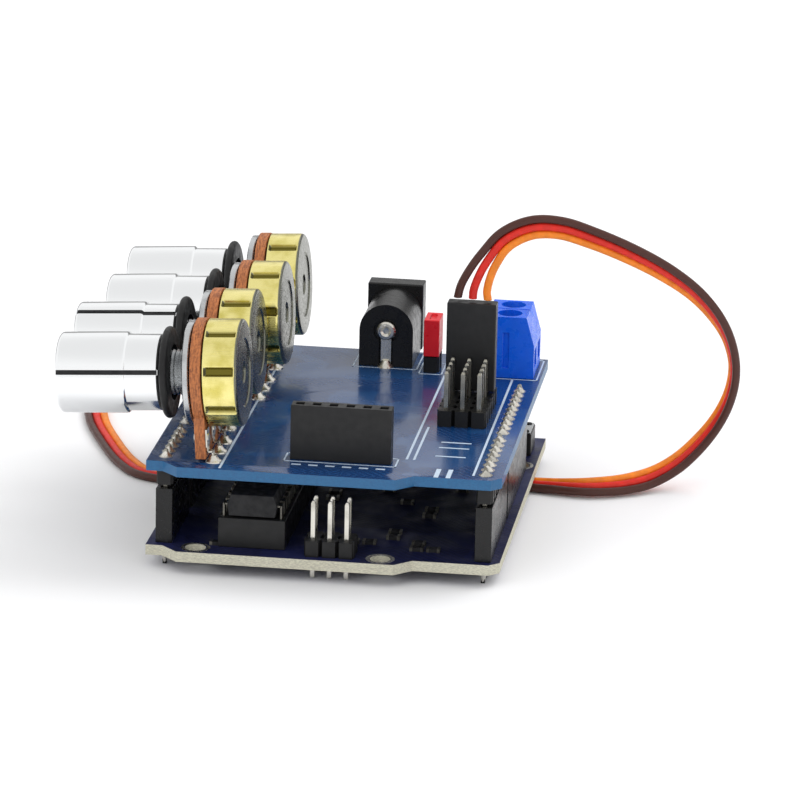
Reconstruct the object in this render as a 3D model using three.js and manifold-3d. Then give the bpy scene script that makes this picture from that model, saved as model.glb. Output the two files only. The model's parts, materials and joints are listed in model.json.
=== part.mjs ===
// A robot-arm control stack: a controller board, a four-knob servo shield plugged on top of
// it, and a flat three-wire servo lead plugged into the shield.
// Millimetres. +X runs across the boards from the knobs to the servo pins, +Y along them to
// the power sockets, +Z up from the surface that the solder legs stand on.

import * as THREE from 'three';
import { mergeVertices } from 'three/addons/utils/BufferGeometryUtils.js';
import Module from 'manifold-3d';

const wasm = await Module();
wasm.setup();

// ---- driving dimensions ----

const PITCH = 2.54; // pin to pin
const PIN = 0.64; // square pin
const PIN_HOLE = 1.2; // a board's hole for a pin
const BOARD = { width: 53.34, depth: 68.58, thick: 1.6 };
const LEG = 2; // how far the solder legs stand out under the controller board
const HEADER = { width: 2.5, height: 8.5, pocket: 1.2, pocketDepth: 6.6 };
const STRIP = { width: 2.5, base: 2.54, tail: 6, tip: 1.2 };
const SEAT_GAP = 0.6; // the shield stands this short of fully down
const CLEAR = 0.3; // between a piece and its neighbour
const ROUND = 24; // sides of a round piece
const SMALL_ROUND = 16;

const CONTROLLER_TOP = LEG + BOARD.thick;
const SHIELD_BOTTOM = CONTROLLER_TOP + HEADER.height + STRIP.base + SEAT_GAP;
const SHIELD_TOP = SHIELD_BOTTOM + BOARD.thick;

// The four rows of pins that join the boards: x, the y of the first pin, and the count.
const ROWS = {
  analog: { x: 2.54, y: 5.08, count: 6 },
  power: { x: 2.54, y: 22.86, count: 8 },
  digital_front: { x: 50.8, y: 5.08, count: 8 },
  digital_back: { x: 50.8, y: 26.924, count: 10 },
};

const MOUNTING_HOLES = [[2.54, 54.61], [50.8, 53.34], [7.62, 2.54], [35.56, 2.54]];
const MOUNTING_HOLE_R = 1.6;

const USB = { x: 31.75, y: 58.93, width: 12, depth: 16, height: 10.8, mouth: 9 };
const POWER_JACK = { x: 3, y: 56.5, width: 9, depth: 14, height: 10.9, boreR: 3.2, boreDepth: 9.5 };
const CHIP = { x: 15.9, y: 21.5, length: 35.4, width: 7.6, height: 3.4 };
const CHIP_SOCKET = { width: 10.2, length: 35.8, height: 4.6 };
const PROGRAMMING_PINS = { x: 25.4, y: 2.5, columns: 3, rows: 2 };
const RESET = { x: 49, y: 61.6, size: 6, height: 3.6, buttonR: 1.7, buttonTop: 5.2, boreR: 2 };

const POT = {
  y: [8.8, 25.8, 42.8, 59.8], // the four shafts
  x: [9.1, 8.6, 10.3, 10.4], // each wafer's back face where it meets the board
  axis: 12.4, // shaft above the board
  lean: 3.3, // degrees that the hand-soldered pots lean towards their knobs
  bodyR: 8.2,
  wafer: 1.6,
  canDepth: 5.1,
  canWall: 0.5,
  crimpTurn: -16, // degrees that the crimps are turned on the can
  plate: 1,
  bushR: 3.45,
  bushLength: 5,
  boreR: 3.1,
  shaftR: 2.95,
  tongue: 6.2, // half the width of the wafer's foot
  pins: 5, // between terminals
};
const KNOB = {
  back: -5.3, // the skirt's back face, from the wafer's back face
  length: 17.2,
  skirtR: 6.9,
  skirt: 1.3,
  capR: 5.75,
  frontR: 6.1,
  frontLength: 10.6,
  capWall: 0.8,
  recessR: 4.2,
  recess: 3.4,
  pointer: 0.8,
};
// Where each pointer stands, in degrees from straight up, turning away from the front.
const POINTERS = [-75, -27, -92, 30];

const JACK = { x: 28.3, y: 59.2, width: 8.6, axis: 5.9, bodyR: 4.3, boreR: 3.2, back: 73.4 };
const JACK_FLANGE = { depth: 3.5, height: 10.8, width: 9 };
const JUMPER = { x: 35.8, y: 57.1, width: 2.5, depth: 5.08, cap: 6 };
const SIDE_HEADER = { x: 21, y: 7.2, count: 6 };
const SERVO_PINS = { x: 40.4, y: 28.4, columns: 3, rows: 6, plugRow: 5 };
const PLUG = { width: 7.66, depth: 2.5, length: 14, lift: 0.4, pocketDepth: 7.5 };
const TERMINAL = { x: 44.6, y: 56.8, width: 7.6, depth: 10.16, height: 10, pole: 5.08 };
const TERMINAL_SCREW = { x: 48, r: 1.7, head: 2, shankR: 1.2, length: 4.4, top: 8.9, holeR: 1.95 };

const LEAD = { width: 3.9, thick: 1.3, steps: 44, sides: 8 };
// The lead's route, from the plug to its far end: x, y, z, then the direction from the
// brown wire to the orange one.
const LEAD_ROUTE = [
  [44.21, 39.86, 34.3, 1, 0, 0],
  [44.3, 39.86, 35.6, 1, 0, 0],
  [45.1, 39.9, 38, 1, 0, -0.1],
  [46.4, 40.1, 40.5, 1, 0, -0.25],
  [48.8, 40.9, 43.6, 0.8, 0.1, -0.6],
  [52.7, 42.2, 45.4, 0.4, 0.2, -0.9],
  [57, 43.8, 45.2, 0.05, 0.3, -0.95],
  [61.6, 45.6, 43.5, -0.1, 0.35, -0.93],
  [67.5, 47.8, 40.7, -0.3, 0.4, -0.87],
  [73, 50, 37.4, -0.42, 0.5, -0.75],
  [77.6, 52, 33.7, -0.5, 0.65, -0.55],
  [80.9, 53.8, 29.6, -0.5, 0.8, -0.35],
  [83, 55.4, 25.3, -0.4, 0.9, -0.1],
  [83.9, 56.7, 20.6, -0.3, 0.95, 0.05],
  [83.3, 57.7, 15.9, -0.3, 0.93, 0.15],
  [81.5, 58.3, 11.5, -0.35, 0.9, 0.25],
  [78.8, 58.2, 7.6, -0.4, 0.85, 0.35],
  [75.5, 57.5, 4.3, -0.35, 0.8, 0.45],
  [72, 56.1, 2.3, -0.3, 0.8, 0.5],
  [67.9, 53, 1.7, -0.3, 0.8, 0.5],
  [62.7, 50.9, 1.55, -0.1, 0.9, 0.4],
  [56.8, 51.5, 1.15, 0, 0.98, 0.15],
  [51, 52.5, 0.86, 0, 1, 0.04],
  [40, 52.6, 0.76, 0, 1, 0],
  [27, 50.6, 0.72, -0.15, 0.99, 0],
  [14, 47, 0.72, -0.2, 0.97, 0],
  [3.5, 45, 0.72, 0, 1, 0],
  [-3.4, 44.9, 0.72, 0.2, 0.98, 0],
  [-8.4, 46.8, 0.72, 0.6, 0.8, 0],
  [-12, 51.6, 0.72, 0.85, 0.5, 0],
  [-17, 62.6, 0.72, 0.91, 0.42, 0],
  [-21.2, 74.4, 0.72, 0.96, 0.28, 0],
  [-22.6, 83, 0.72, 1, 0, 0],
  [-20, 90.8, 0.72, 0.8, -0.6, 0],
  [-14.6, 96, 0.8, 0.45, -0.9, 0],
  [-7.4, 97.9, 1.27, 0.1, -1, 0],
];

// ---- finishes ----

const finish = (color, roughness, metalness) =>
  new THREE.MeshStandardMaterial({ color, roughness, metalness });
const FINISH = {
  controllerBoard: finish(0x14204a, 0.4, 0),
  shieldBoard: finish(0x173f7c, 0.35, 0),
  blackPlastic: finish(0x1c1c1e, 0.4, 0),
  chipPlastic: finish(0x2b2c2e, 0.6, 0),
  bluePlastic: finish(0x1253c4, 0.35, 0),
  redPlastic: finish(0xb01a20, 0.4, 0),
  whitePlastic: finish(0xe8e8e4, 0.5, 0),
  phenolic: finish(0x8f5a33, 0.7, 0),
  passivated: finish(0xd8c45a, 0.35, 0.9),
  steel: finish(0xb9bbbd, 0.35, 1),
  pinMetal: finish(0xd0cfc6, 0.3, 1),
  chrome: finish(0xeef0f2, 0.12, 1),
  canMetal: finish(0xc6c9cc, 0.3, 1),
  lead: finish(0xc0301c, 0.5, 0),
};

// ---- making solids ----

/** A closed geometry as a solid; its faces are turned outwards whichever way they ran. */
function toSolid(geometry) {
  const bare = new THREE.BufferGeometry();
  bare.setAttribute('position', geometry.getAttribute('position').clone());
  if (geometry.index) bare.setIndex(geometry.index.clone());
  const merged = mergeVertices(bare, 1e-4);
  const vertProperties = new Float32Array(merged.getAttribute('position').array);
  const triVerts = new Uint32Array(merged.index.array);
  if (signedVolume(vertProperties, triVerts) < 0) {
    for (let i = 0; i < triVerts.length; i += 3) {
      [triVerts[i], triVerts[i + 1]] = [triVerts[i + 1], triVerts[i]];
    }
  }
  return new wasm.Manifold(new wasm.Mesh({ numProp: 3, vertProperties, triVerts }));
}

function signedVolume(positions, triangles) {
  const corner = (i) => new THREE.Vector3().fromArray(positions, 3 * triangles[i]);
  let sum = 0;
  for (let i = 0; i < triangles.length; i += 3) {
    sum += corner(i).dot(corner(i + 1).cross(corner(i + 2)));
  }
  return sum;
}

/** A named mesh of a solid. */
function piece(name, solid, material) {
  const { vertProperties, triVerts } = solid.getMesh();
  const geometry = new THREE.BufferGeometry();
  geometry.setAttribute('position', new THREE.Float32BufferAttribute(vertProperties, 3));
  geometry.setIndex(new THREE.Uint32BufferAttribute(triVerts, 1));
  geometry.computeVertexNormals();
  const mesh = new THREE.Mesh(geometry, material);
  mesh.name = name;
  return mesh;
}

const joined = (solids) => solids.reduce((all, next) => all.add(next));

const cutAway = (solid, tools) => tools.reduce((rest, tool) => rest.subtract(tool), solid);

/** A box between two corners. */
function block([x0, y0, z0], [x1, y1, z1]) {
  const box = new THREE.BoxGeometry(x1 - x0, y1 - y0, z1 - z0);
  return toSolid(box.translate((x0 + x1) / 2, (y0 + y1) / 2, (z0 + z1) / 2));
}

/** A square post centred on x, y. */
const post = (x, y, side, z0, z1) =>
  block([x - side / 2, y - side / 2, z0], [x + side / 2, y + side / 2, z1]);

/** An outline of [x, y] points raised from z0 to z1. */
function slab(points, z0, z1) {
  const shape = new THREE.Shape(points.map(([x, y]) => new THREE.Vector2(x, y)));
  const geometry = new THREE.ExtrudeGeometry(shape, { depth: z1 - z0, bevelEnabled: false });
  return toSolid(geometry.translate(0, 0, z0));
}

/** An outline of [y, z] points drawn out along X. */
function barX(points, x0, x1) {
  const shape = new THREE.Shape(points.map(([y, z]) => new THREE.Vector2(y, z)));
  const geometry = new THREE.ExtrudeGeometry(shape, { depth: x1 - x0, bevelEnabled: false });
  const [alongY, alongZ] = [new THREE.Vector3(0, 1, 0), new THREE.Vector3(0, 0, 1)];
  geometry.applyMatrix4(new THREE.Matrix4().makeBasis(alongY, alongZ, new THREE.Vector3(1, 0, 0)));
  return toSolid(geometry.translate(x0, 0, 0));
}

/** An outline of [x, z] points drawn out along Y. */
function barY(points, y0, y1) {
  const shape = new THREE.Shape(points.map(([x, z]) => new THREE.Vector2(x, z)));
  const geometry = new THREE.ExtrudeGeometry(shape, { depth: y1 - y0, bevelEnabled: false });
  return toSolid(geometry.rotateX(Math.PI / 2).translate(0, y1, 0));
}

/** A round piece about a line through `at`: its profile is [radius, distance] points. */
function turned(profile, axis, at = [0, 0, 0], sides = ROUND) {
  const points = profile.map(([radius, along]) => new THREE.Vector2(radius, along));
  const geometry = new THREE.LatheGeometry(points, sides);
  if (axis === 'z') geometry.rotateX(Math.PI / 2);
  if (axis === 'x') geometry.rotateZ(-Math.PI / 2);
  return toSolid(geometry.translate(...at));
}

/** A plain round bar about a line through `at`. */
const rod = (radius, from, to, axis, at = [0, 0, 0], sides = ROUND) =>
  turned([[0, from], [radius, from], [radius, to], [0, to]], axis, at, sides);

/** The points of an arc, from one angle in degrees to another. */
function arc([cx, cy], radius, from, to, steps) {
  return Array.from({ length: steps + 1 }, (_, i) => {
    const angle = THREE.MathUtils.degToRad(from + ((to - from) * i) / steps);
    return [cx + radius * Math.cos(angle), cy + radius * Math.sin(angle)];
  });
}

const pinsOf = ({ x, y, count }) => Array.from({ length: count }, (_, i) => [x, y + i * PITCH]);

// ---- boards ----

/** The stepped outline that both boards share. */
const OUTLINE = [
  [0, 2.54], [2.54, 2.54], [5.08, 0], [37.846, 0], [40.386, 2.54], [51.816, 2.54],
  [BOARD.width, 4.064], [BOARD.width, BOARD.depth], [0, BOARD.depth],
];

const joiningPins = Object.values(ROWS).flatMap(pinsOf);

const throughHoles = (places, z0, z1) =>
  places.map(([x, y]) => post(x, y, PIN_HOLE, z0 - 1, z1 + 1));

function controllerBoard() {
  const board = slab(OUTLINE, LEG, CONTROLLER_TOP);
  const pinHoles = throughHoles([...joiningPins, ...programmingPins()], LEG, CONTROLLER_TOP);
  const bolts = MOUNTING_HOLES.map(([x, y]) =>
    rod(MOUNTING_HOLE_R, 0, CONTROLLER_TOP + 1, 'z', [x, y, 0], SMALL_ROUND));
  return cutAway(board, [...pinHoles, ...bolts]);
}

function shieldBoard() {
  const terminals = POT.y.flatMap((y, i) =>
    POT_TERMINALS.map(([x, dy]) => [POT.x[i] + x, y + dy]));
  const holes = throughHoles([...joiningPins, ...terminals], SHIELD_BOTTOM, SHIELD_TOP);
  return cutAway(slab(OUTLINE, SHIELD_BOTTOM, SHIELD_TOP), holes);
}

// ---- what joins the boards ----

/** A socket strip on the controller board, with its solder legs. */
function femaleHeader({ x, y, count }) {
  const [z0, z1] = [CONTROLLER_TOP, CONTROLLER_TOP + HEADER.height];
  const half = HEADER.width / 2;
  const body = block([x - half, y - PITCH / 2, z0], [x + half, y + (count - 0.5) * PITCH, z1]);
  const pockets = pinsOf({ x, y, count }).map(([px, py]) =>
    post(px, py, HEADER.pocket, z1 - HEADER.pocketDepth, z1 + 1));
  const legs = pinsOf({ x, y, count }).map(([px, py]) => post(px, py, PIN, 0, z0 + 0.5));
  return joined([cutAway(body, pockets), ...legs]);
}

/** A pin strip under the shield: its tails stand in the socket strip below. */
function pinStrip({ x, y, count }) {
  const [z0, z1] = [SHIELD_BOTTOM - STRIP.base, SHIELD_BOTTOM];
  const half = STRIP.width / 2;
  const base = block([x - half, y - PITCH / 2, z0], [x + half, y + (count - 0.5) * PITCH, z1]);
  const pins = pinsOf({ x, y, count }).map(([px, py]) =>
    post(px, py, PIN, z0 - STRIP.tail, SHIELD_TOP + STRIP.tip));
  return joined([base, ...pins]);
}

// ---- controller board's parts ----

/** A metal USB socket, open at the back; the tongue is a piece of its own. */
function usbSocket() {
  const [x1, y1] = [USB.x + USB.width, USB.y + USB.depth];
  const z0 = CONTROLLER_TOP;
  const shell = block([USB.x, USB.y, z0], [x1, y1, z0 + USB.height]);
  const [wall, lip] = [1.7, 1.5];
  const mouth = [
    [USB.x + wall, z0 + lip], [x1 - wall, z0 + lip], [x1 - wall, z0 + USB.height - 3],
    [x1 - wall - 1.5, z0 + USB.height - lip], [USB.x + wall + 1.5, z0 + USB.height - lip],
    [USB.x + wall, z0 + USB.height - 3],
  ];
  return shell.subtract(barY(mouth, y1 - USB.mouth, y1 + 1));
}

function usbTongue() {
  const [x, y1, z] = [USB.x + USB.width / 2, USB.y + USB.depth, CONTROLLER_TOP + USB.height / 2];
  return block([x - 2.8, y1 - USB.mouth, z - 1.7], [x + 2.8, y1 - 1.2, z + 1.4]);
}

function powerJack() {
  const { x, y, width, depth, height, boreR, boreDepth } = POWER_JACK;
  const back = y + depth;
  const body = block([x, y, CONTROLLER_TOP], [x + width, back, CONTROLLER_TOP + height]);
  const at = [x + width / 2, 0, CONTROLLER_TOP + 6.4];
  const step = block([x - 1, y - 1, CONTROLLER_TOP + 9.6],
    [x + width + 1, back - 3.6, CONTROLLER_TOP + height + 1]);
  return cutAway(body, [rod(boreR, back - boreDepth, back + 1, 'y', at, SMALL_ROUND), step]);
}

function powerJackPin() {
  const at = [POWER_JACK.x + POWER_JACK.width / 2, 0, CONTROLLER_TOP + 6.4];
  const back = POWER_JACK.y + POWER_JACK.depth;
  return rod(1, back - POWER_JACK.boreDepth, back - 1.2, 'y', at, SMALL_ROUND);
}

function programmingPins() {
  const { x, y, columns, rows } = PROGRAMMING_PINS;
  return Array.from({ length: columns * rows }, (_, i) =>
    [x + (i % columns) * PITCH, y + Math.floor(i / columns) * PITCH]);
}

function programmingHeader() {
  const half = PITCH / 2;
  const { x, y, columns, rows } = PROGRAMMING_PINS;
  const top = CONTROLLER_TOP + PITCH;
  const base = block([x - half, y - half, CONTROLLER_TOP],
    [x + (columns - 0.5) * PITCH, y + (rows - 0.5) * PITCH, top]);
  return joined([base, ...programmingPins().map(([px, py]) => post(px, py, PIN, 0, top + 6))]);
}

function chipSocket() {
  const [hw, hl] = [CHIP_SOCKET.width / 2, CHIP_SOCKET.length / 2];
  const top = CONTROLLER_TOP + CHIP_SOCKET.height;
  const body = block([CHIP.x - hw, CHIP.y - hl, CONTROLLER_TOP], [CHIP.x + hw, CHIP.y + hl, top]);
  const well = block([CHIP.x - 2.3, CHIP.y - hl + 3, CONTROLLER_TOP - 1],
    [CHIP.x + 2.3, CHIP.y + hl - 3, top + 1]);
  return body.subtract(well);
}

/** The chip, with the half-round notch at its back end that shows pin one. */
function chip() {
  const [hw, hl] = [CHIP.width / 2, CHIP.length / 2];
  const z0 = CONTROLLER_TOP + CHIP_SOCKET.height;
  const [low, waist, high] = [z0 + CLEAR, z0 + CLEAR + CHIP.height / 2, z0 + CLEAR + CHIP.height];
  const section = [
    [CHIP.x - hw + 0.3, low], [CHIP.x + hw - 0.3, low], [CHIP.x + hw, waist],
    [CHIP.x + hw - 0.5, high], [CHIP.x - hw + 0.5, high], [CHIP.x - hw, waist],
  ];
  const notch = rod(1.2, high - 0.8, high + 1, 'z', [CHIP.x, CHIP.y + hl, 0], SMALL_ROUND);
  return barY(section, CHIP.y - hl, CHIP.y + hl).subtract(notch);
}

/** A crystal's can with rounded ends. */
function crystal() {
  const [x, y, r, half] = [27.5, 47.5, 2.3, 3.4];
  const ends = [...arc([x + half, y], r, -90, 90, 8), ...arc([x - half, y], r, 90, 270, 8)];
  return slab(ends, CONTROLLER_TOP, CONTROLLER_TOP + 3.6);
}

const capacitor = (x, y) => turned(
  [[0, 0], [3.3, 0], [3.3, 0.9], [3.1, 1], [3.1, 5.3], [0, 5.3]],
  'z', [x, y, CONTROLLER_TOP], SMALL_ROUND);

/** The reset switch's body, bored for its button. */
function resetSwitch() {
  const half = RESET.size / 2;
  const body = block([RESET.x - half, RESET.y - half, CONTROLLER_TOP],
    [RESET.x + half, RESET.y + half, CONTROLLER_TOP + RESET.height]);
  const bore = rod(RESET.boreR, CONTROLLER_TOP + 1, CONTROLLER_TOP + 9, 'z',
    [RESET.x, RESET.y, 0], SMALL_ROUND);
  return body.subtract(bore);
}

const resetButton = () => rod(RESET.buttonR, CONTROLLER_TOP + 1.8,
  CONTROLLER_TOP + RESET.buttonTop, 'z', [RESET.x, RESET.y, 0], SMALL_ROUND);

// ---- potentiometers: drawn with the wafer's back face at x = 0 and the board at z = 0 ----

/** The terminals' feet, from where a wafer's back face meets the board. */
const POT_TERMINALS = [-1, 0, 1].map((i) => [0.9, i * POT.pins]);

const shaftLine = [0, 0, POT.axis];

/** The brown wafer: a disc with a foot, and the three terminals riveted to it. */
function potWafer() {
  const { bodyR, tongue, axis, wafer, boreR, pins } = POT;
  const spread = THREE.MathUtils.radToDeg(Math.acos(tongue / bodyR));
  const disc = arc([0, axis], bodyR, -spread, 180 + spread, 28);
  const face = barX([...disc, [-tongue, 0.5], [tongue, 0.5]], -wafer, 0);
  const bore = rod(boreR + 0.3, -wafer - 1, 1, 'x', shaftLine);
  const terminals = [-1, 0, 1].map((i) =>
    block([-0.4, i * pins - 0.4, -BOARD.thick + 0.1], [1.1, i * pins + 0.4, 3.4])
      .subtract(block([-1, i * pins - 1, -3], [0.6, i * pins + 1, 0.4])));
  return joined([face.subtract(bore), ...terminals]);
}

/** The can behind the wafer, with crimps pressed into its rim; it's open towards the wafer. */
function potCan() {
  const { bodyR, canDepth, canWall, crimpTurn, axis } = POT;
  const radius = bodyR - 0.1;
  const floor = CLEAR + canDepth - canWall;
  const cup = turned([
    [radius - canWall, CLEAR], [radius, CLEAR], [radius, floor], [radius - 0.4, floor + canWall],
    [0, floor + canWall], [0, floor], [radius - canWall, floor], [radius - canWall, CLEAR],
  ], 'x', shaftLine);
  const crimps = Array.from({ length: 8 }, (_, i) => {
    const angle = (i * Math.PI) / 4 + THREE.MathUtils.degToRad(crimpTurn);
    const [y, z] = [(radius + 0.25) * Math.cos(angle), axis + (radius + 0.25) * Math.sin(angle)];
    return rod(0.55, CLEAR + 0.8, floor - 0.6, 'x', [0, y, z], 8);
  });
  return cutAway(cup, crimps);
}

/** The front plate with the threaded bush that the shaft turns in. */
function potBush() {
  const { bodyR, wafer, plate, bushR, bushLength, boreR } = POT;
  const back = -wafer - CLEAR;
  return turned([
    [boreR, back], [bodyR - 0.4, back], [bodyR - 0.4, back - plate], [bushR + 0.9, back - plate],
    [bushR, back - plate - 0.5], [bushR, back - plate - bushLength],
    [boreR, back - plate - bushLength], [boreR, back],
  ], 'x', shaftLine);
}

/** The shaft, with the wiper disc that turns inside the can. */
function potShaft() {
  const { shaftR, bodyR } = POT;
  const end = KNOB.back - KNOB.length + 6;
  return turned([
    [0, 3.2], [bodyR - 1.6, 3.2], [bodyR - 1.6, 1.6], [shaftR, 1.6],
    [shaftR, end + 0.4], [shaftR - 0.4, end], [0, end],
  ], 'x', shaftLine);
}

/** The knob's black core: the skirt, and the hub that grips the shaft. */
function knobCore() {
  const { back, length, skirtR, skirt, capR, frontR, frontLength, capWall, recessR, recess } = KNOB;
  const gripR = POT.shaftR + 0.2;
  const step = back - length + frontLength;
  const top = back - length + capWall + CLEAR;
  return turned([
    [recessR, back], [skirtR - 0.2, back], [skirtR, back - 0.5], [skirtR - 0.5, back - skirt],
    [capR - capWall - CLEAR, back - skirt], [capR - capWall - CLEAR, step - CLEAR],
    [frontR - capWall - CLEAR, step - CLEAR], [frontR - capWall - CLEAR, top], [0, top],
    [0, back - length + 5.4], [gripR, back - length + 5.4], [gripR, back - recess],
    [recessR, back - recess], [recessR, back],
  ], 'x', shaftLine);
}

/** The bright cap over the core, with its pointer's groove, here pointing straight up. */
function knobCap() {
  const { back, length, skirt, capR, frontR, frontLength, capWall, pointer } = KNOB;
  const [mouth, front, step] = [back - skirt - CLEAR, back - length, back - length + frontLength];
  const cap = turned([
    [capR - capWall, mouth], [capR, mouth], [capR, step], [frontR, step - 0.4],
    [frontR, front + 0.5], [frontR - 0.5, front], [0, front], [0, front + capWall],
    [frontR - capWall, front + capWall], [frontR - capWall, step],
    [capR - capWall, step], [capR - capWall, mouth],
  ], 'x', shaftLine);
  const depth = 0.3;
  const side = block([front - 1, -pointer / 2, POT.axis + capR - depth],
    [mouth + 1, pointer / 2, POT.axis + frontR + 1]);
  const end = block([front - 1, -pointer / 2, POT.axis + 1],
    [front + depth, pointer / 2, POT.axis + frontR + 1]);
  return cutAway(cap, [side, end]);
}

/** One potentiometer with its knob, leaning a little towards the knob. */
function potentiometer(number, [x, y], pointerAngle) {
  const pot = new THREE.Group();
  pot.position.set(x, y, SHIELD_TOP);
  pot.rotation.y = THREE.MathUtils.degToRad(-POT.lean);
  pot.add(
    piece(`pot_${number}_wafer`, potWafer(), FINISH.phenolic),
    piece(`pot_${number}_can`, potCan(), FINISH.passivated),
    piece(`pot_${number}_bush`, potBush(), FINISH.steel),
  );
  // What turns sits in a group whose origin is on the shaft's line.
  const turning = new THREE.Group();
  turning.position.set(...shaftLine);
  turning.rotation.x = THREE.MathUtils.degToRad(-pointerAngle);
  const moving = [
    piece(`pot_${number}_shaft`, potShaft(), FINISH.steel),
    piece(`knob_${number}_core`, knobCore(), FINISH.blackPlastic),
    piece(`knob_${number}_cap`, knobCap(), FINISH.chrome),
  ];
  moving.forEach((mesh) => mesh.geometry.translate(0, 0, -POT.axis));
  turning.add(...moving);
  pot.add(turning);
  return pot;
}

// ---- shield's other parts ----

/** The round-topped barrel socket: a square flange at the board's edge, open to the back. */
function shieldJack() {
  const { x, y, width, axis, bodyR, boreR, back } = JACK;
  const z0 = SHIELD_TOP;
  const half = width / 2;
  const flange = JACK_FLANGE.width / 2;
  const dome = arc([x, z0 + axis], bodyR, 0, 180, 14);
  const barrel = barY([[x - half, z0], [x + half, z0], ...dome], y, back - 1);
  const front = block([x - flange, back - JACK_FLANGE.depth, z0],
    [x + flange, back, z0 + JACK_FLANGE.height]);
  const bore = rod(boreR, back - 9.2, back + 1, 'y', [x, 0, z0 + axis], SMALL_ROUND);
  const rivetHole = rod(1.3, y - 1, back, 'y', [x, 0, z0 + axis], SMALL_ROUND);
  const stripSlot = block([x - 1.1, y - 1, z0 - 1], [x + 1.1, y + 0.7, z0 + axis]);
  return cutAway(joined([barrel, front]), [bore, rivetHole, stripSlot]);
}

/** The socket's centre pin, riveted to the strip that runs down to the board. */
function shieldJackContact() {
  const { x, y, axis, back } = JACK;
  const z0 = SHIELD_TOP;
  const pin = turned([
    [0, y - 0.3], [1.6, y - 0.3], [1.6, y], [1, y], [1, back - 1.4], [0.6, back - 1], [0, back - 1],
  ], 'y', [x, 0, z0 + axis], SMALL_ROUND);
  const strip = block([x - 0.8, y - 0.3, z0], [x + 0.8, y + 0.2, z0 + axis]);
  return pin.add(strip);
}

const jumperPlaces = [0, 1].map((i) => [JUMPER.x, JUMPER.y + (i + 0.5) * PITCH]);

function jumperPins() {
  const { x, y, width, depth } = JUMPER;
  const top = SHIELD_TOP + PITCH;
  const base = block([x - width / 2, y, SHIELD_TOP], [x + width / 2, y + depth, top]);
  return joined([base, ...jumperPlaces.map(([px, py]) => post(px, py, PIN, SHIELD_TOP, top + 5.4))]);
}

function jumperCap() {
  const { x, y, width, depth, cap } = JUMPER;
  const z0 = SHIELD_TOP + PITCH + 0.1;
  const body = block([x - width / 2, y + 0.1, z0], [x + width / 2, y + depth - 0.1, z0 + cap]);
  return cutAway(body, jumperPlaces.map(([px, py]) => post(px, py, PIN + 0.5, z0 - 1, z0 + 5.6)));
}

/** A socket strip across the front of the shield. */
function sideHeader() {
  const { x, y, count } = SIDE_HEADER;
  const z1 = SHIELD_TOP + HEADER.height;
  const body = block([x, y, SHIELD_TOP], [x + count * PITCH, y + HEADER.width, z1]);
  const pockets = Array.from({ length: count }, (_, i) =>
    post(x + (i + 0.5) * PITCH, y + HEADER.width / 2, HEADER.pocket, z1 - HEADER.pocketDepth, z1 + 1));
  return cutAway(body, pockets);
}

function servoPins() {
  const { x, y, columns, rows } = SERVO_PINS;
  const top = SHIELD_TOP + PITCH;
  const base = block([x, y, SHIELD_TOP], [x + columns * PITCH, y + rows * PITCH, top]);
  const pins = Array.from({ length: columns * rows }, (_, i) => {
    const [column, row] = [i % columns, Math.floor(i / columns)];
    return post(x + (column + 0.5) * PITCH, y + (row + 0.5) * PITCH, PIN, SHIELD_TOP, top + 6);
  });
  return joined([base, ...pins]);
}

/** The blue two-way terminal: wires enter on the right, under the screws. */
function terminalBlock() {
  const { x, y, width, depth, height, pole } = TERMINAL;
  const z0 = SHIELD_TOP;
  const section = [
    [x, z0], [x + width, z0], [x + width, z0 + 5.4], [x + width - 1.3, z0 + height], [x, z0 + height],
  ];
  const holes = [0, 1].flatMap((i) => {
    const middle = y + (i + 0.5) * pole;
    const wireWay = block([x + 1.4, middle - 1.5, z0 + 1.4], [x + width + 1, middle + 1.5, z0 + 4.4]);
    const screwWay = rod(TERMINAL_SCREW.holeR, z0 + 3, z0 + height + 1, 'z',
      [TERMINAL_SCREW.x, middle, 0], SMALL_ROUND);
    return [wireWay, screwWay];
  });
  return cutAway(barY(section, y, y + depth), holes);
}

/** A terminal's slotted screw. */
function terminalScrew(index) {
  const { x, r, head, shankR, length, top } = TERMINAL_SCREW;
  const at = [x, TERMINAL.y + (index + 0.5) * TERMINAL.pole, SHIELD_TOP + top];
  const screw = turned([[0, 0], [r, 0], [r, -head], [shankR, -head], [shankR, -length], [0, -length]],
    'z', at, SMALL_ROUND);
  return screw.subtract(block([x - 0.35, at[1] - 3, at[2] - 0.8], [x + 0.35, at[1] + 3, at[2] + 1]));
}

// ---- servo lead ----

/** A three-way socket housing standing on z = 0 with its pockets down, centred on x, y = 0. */
function leadHousing() {
  const { width, depth, length, pocketDepth } = PLUG;
  const body = block([-width / 2, -depth / 2, 0], [width / 2, depth / 2, length]);
  return cutAway(body, [-1, 0, 1].map((i) => post(i * PITCH, 0, 1.2, -1, pocketDepth)));
}

function servoPlug() {
  const plug = piece('servo_plug', leadHousing(), FINISH.blackPlastic);
  const { x, y, columns, plugRow } = SERVO_PINS;
  plug.position.set(x + (columns / 2) * PITCH, y + (plugRow - 0.5) * PITCH,
    SHIELD_TOP + PITCH + PLUG.lift);
  return plug;
}

/** The same housing on the lead's far end, lying flat and carrying on the lead's line. */
function leadSocket() {
  const socket = piece('lead_socket', leadHousing(), FINISH.blackPlastic);
  const [end, before] = [LEAD_ROUTE.at(-1), LEAD_ROUTE.at(-2)];
  const heading = Math.atan2(end[1] - before[1], end[0] - before[0]);
  const reach = PLUG.length + CLEAR + 0.2;
  socket.rotation.order = 'ZXY';
  socket.rotation.set(Math.PI / 2, 0, heading - Math.PI / 2);
  socket.position.set(end[0] + reach * Math.cos(heading), end[1] + reach * Math.sin(heading),
    PLUG.depth / 2 + 0.01);
  return socket;
}

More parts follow.
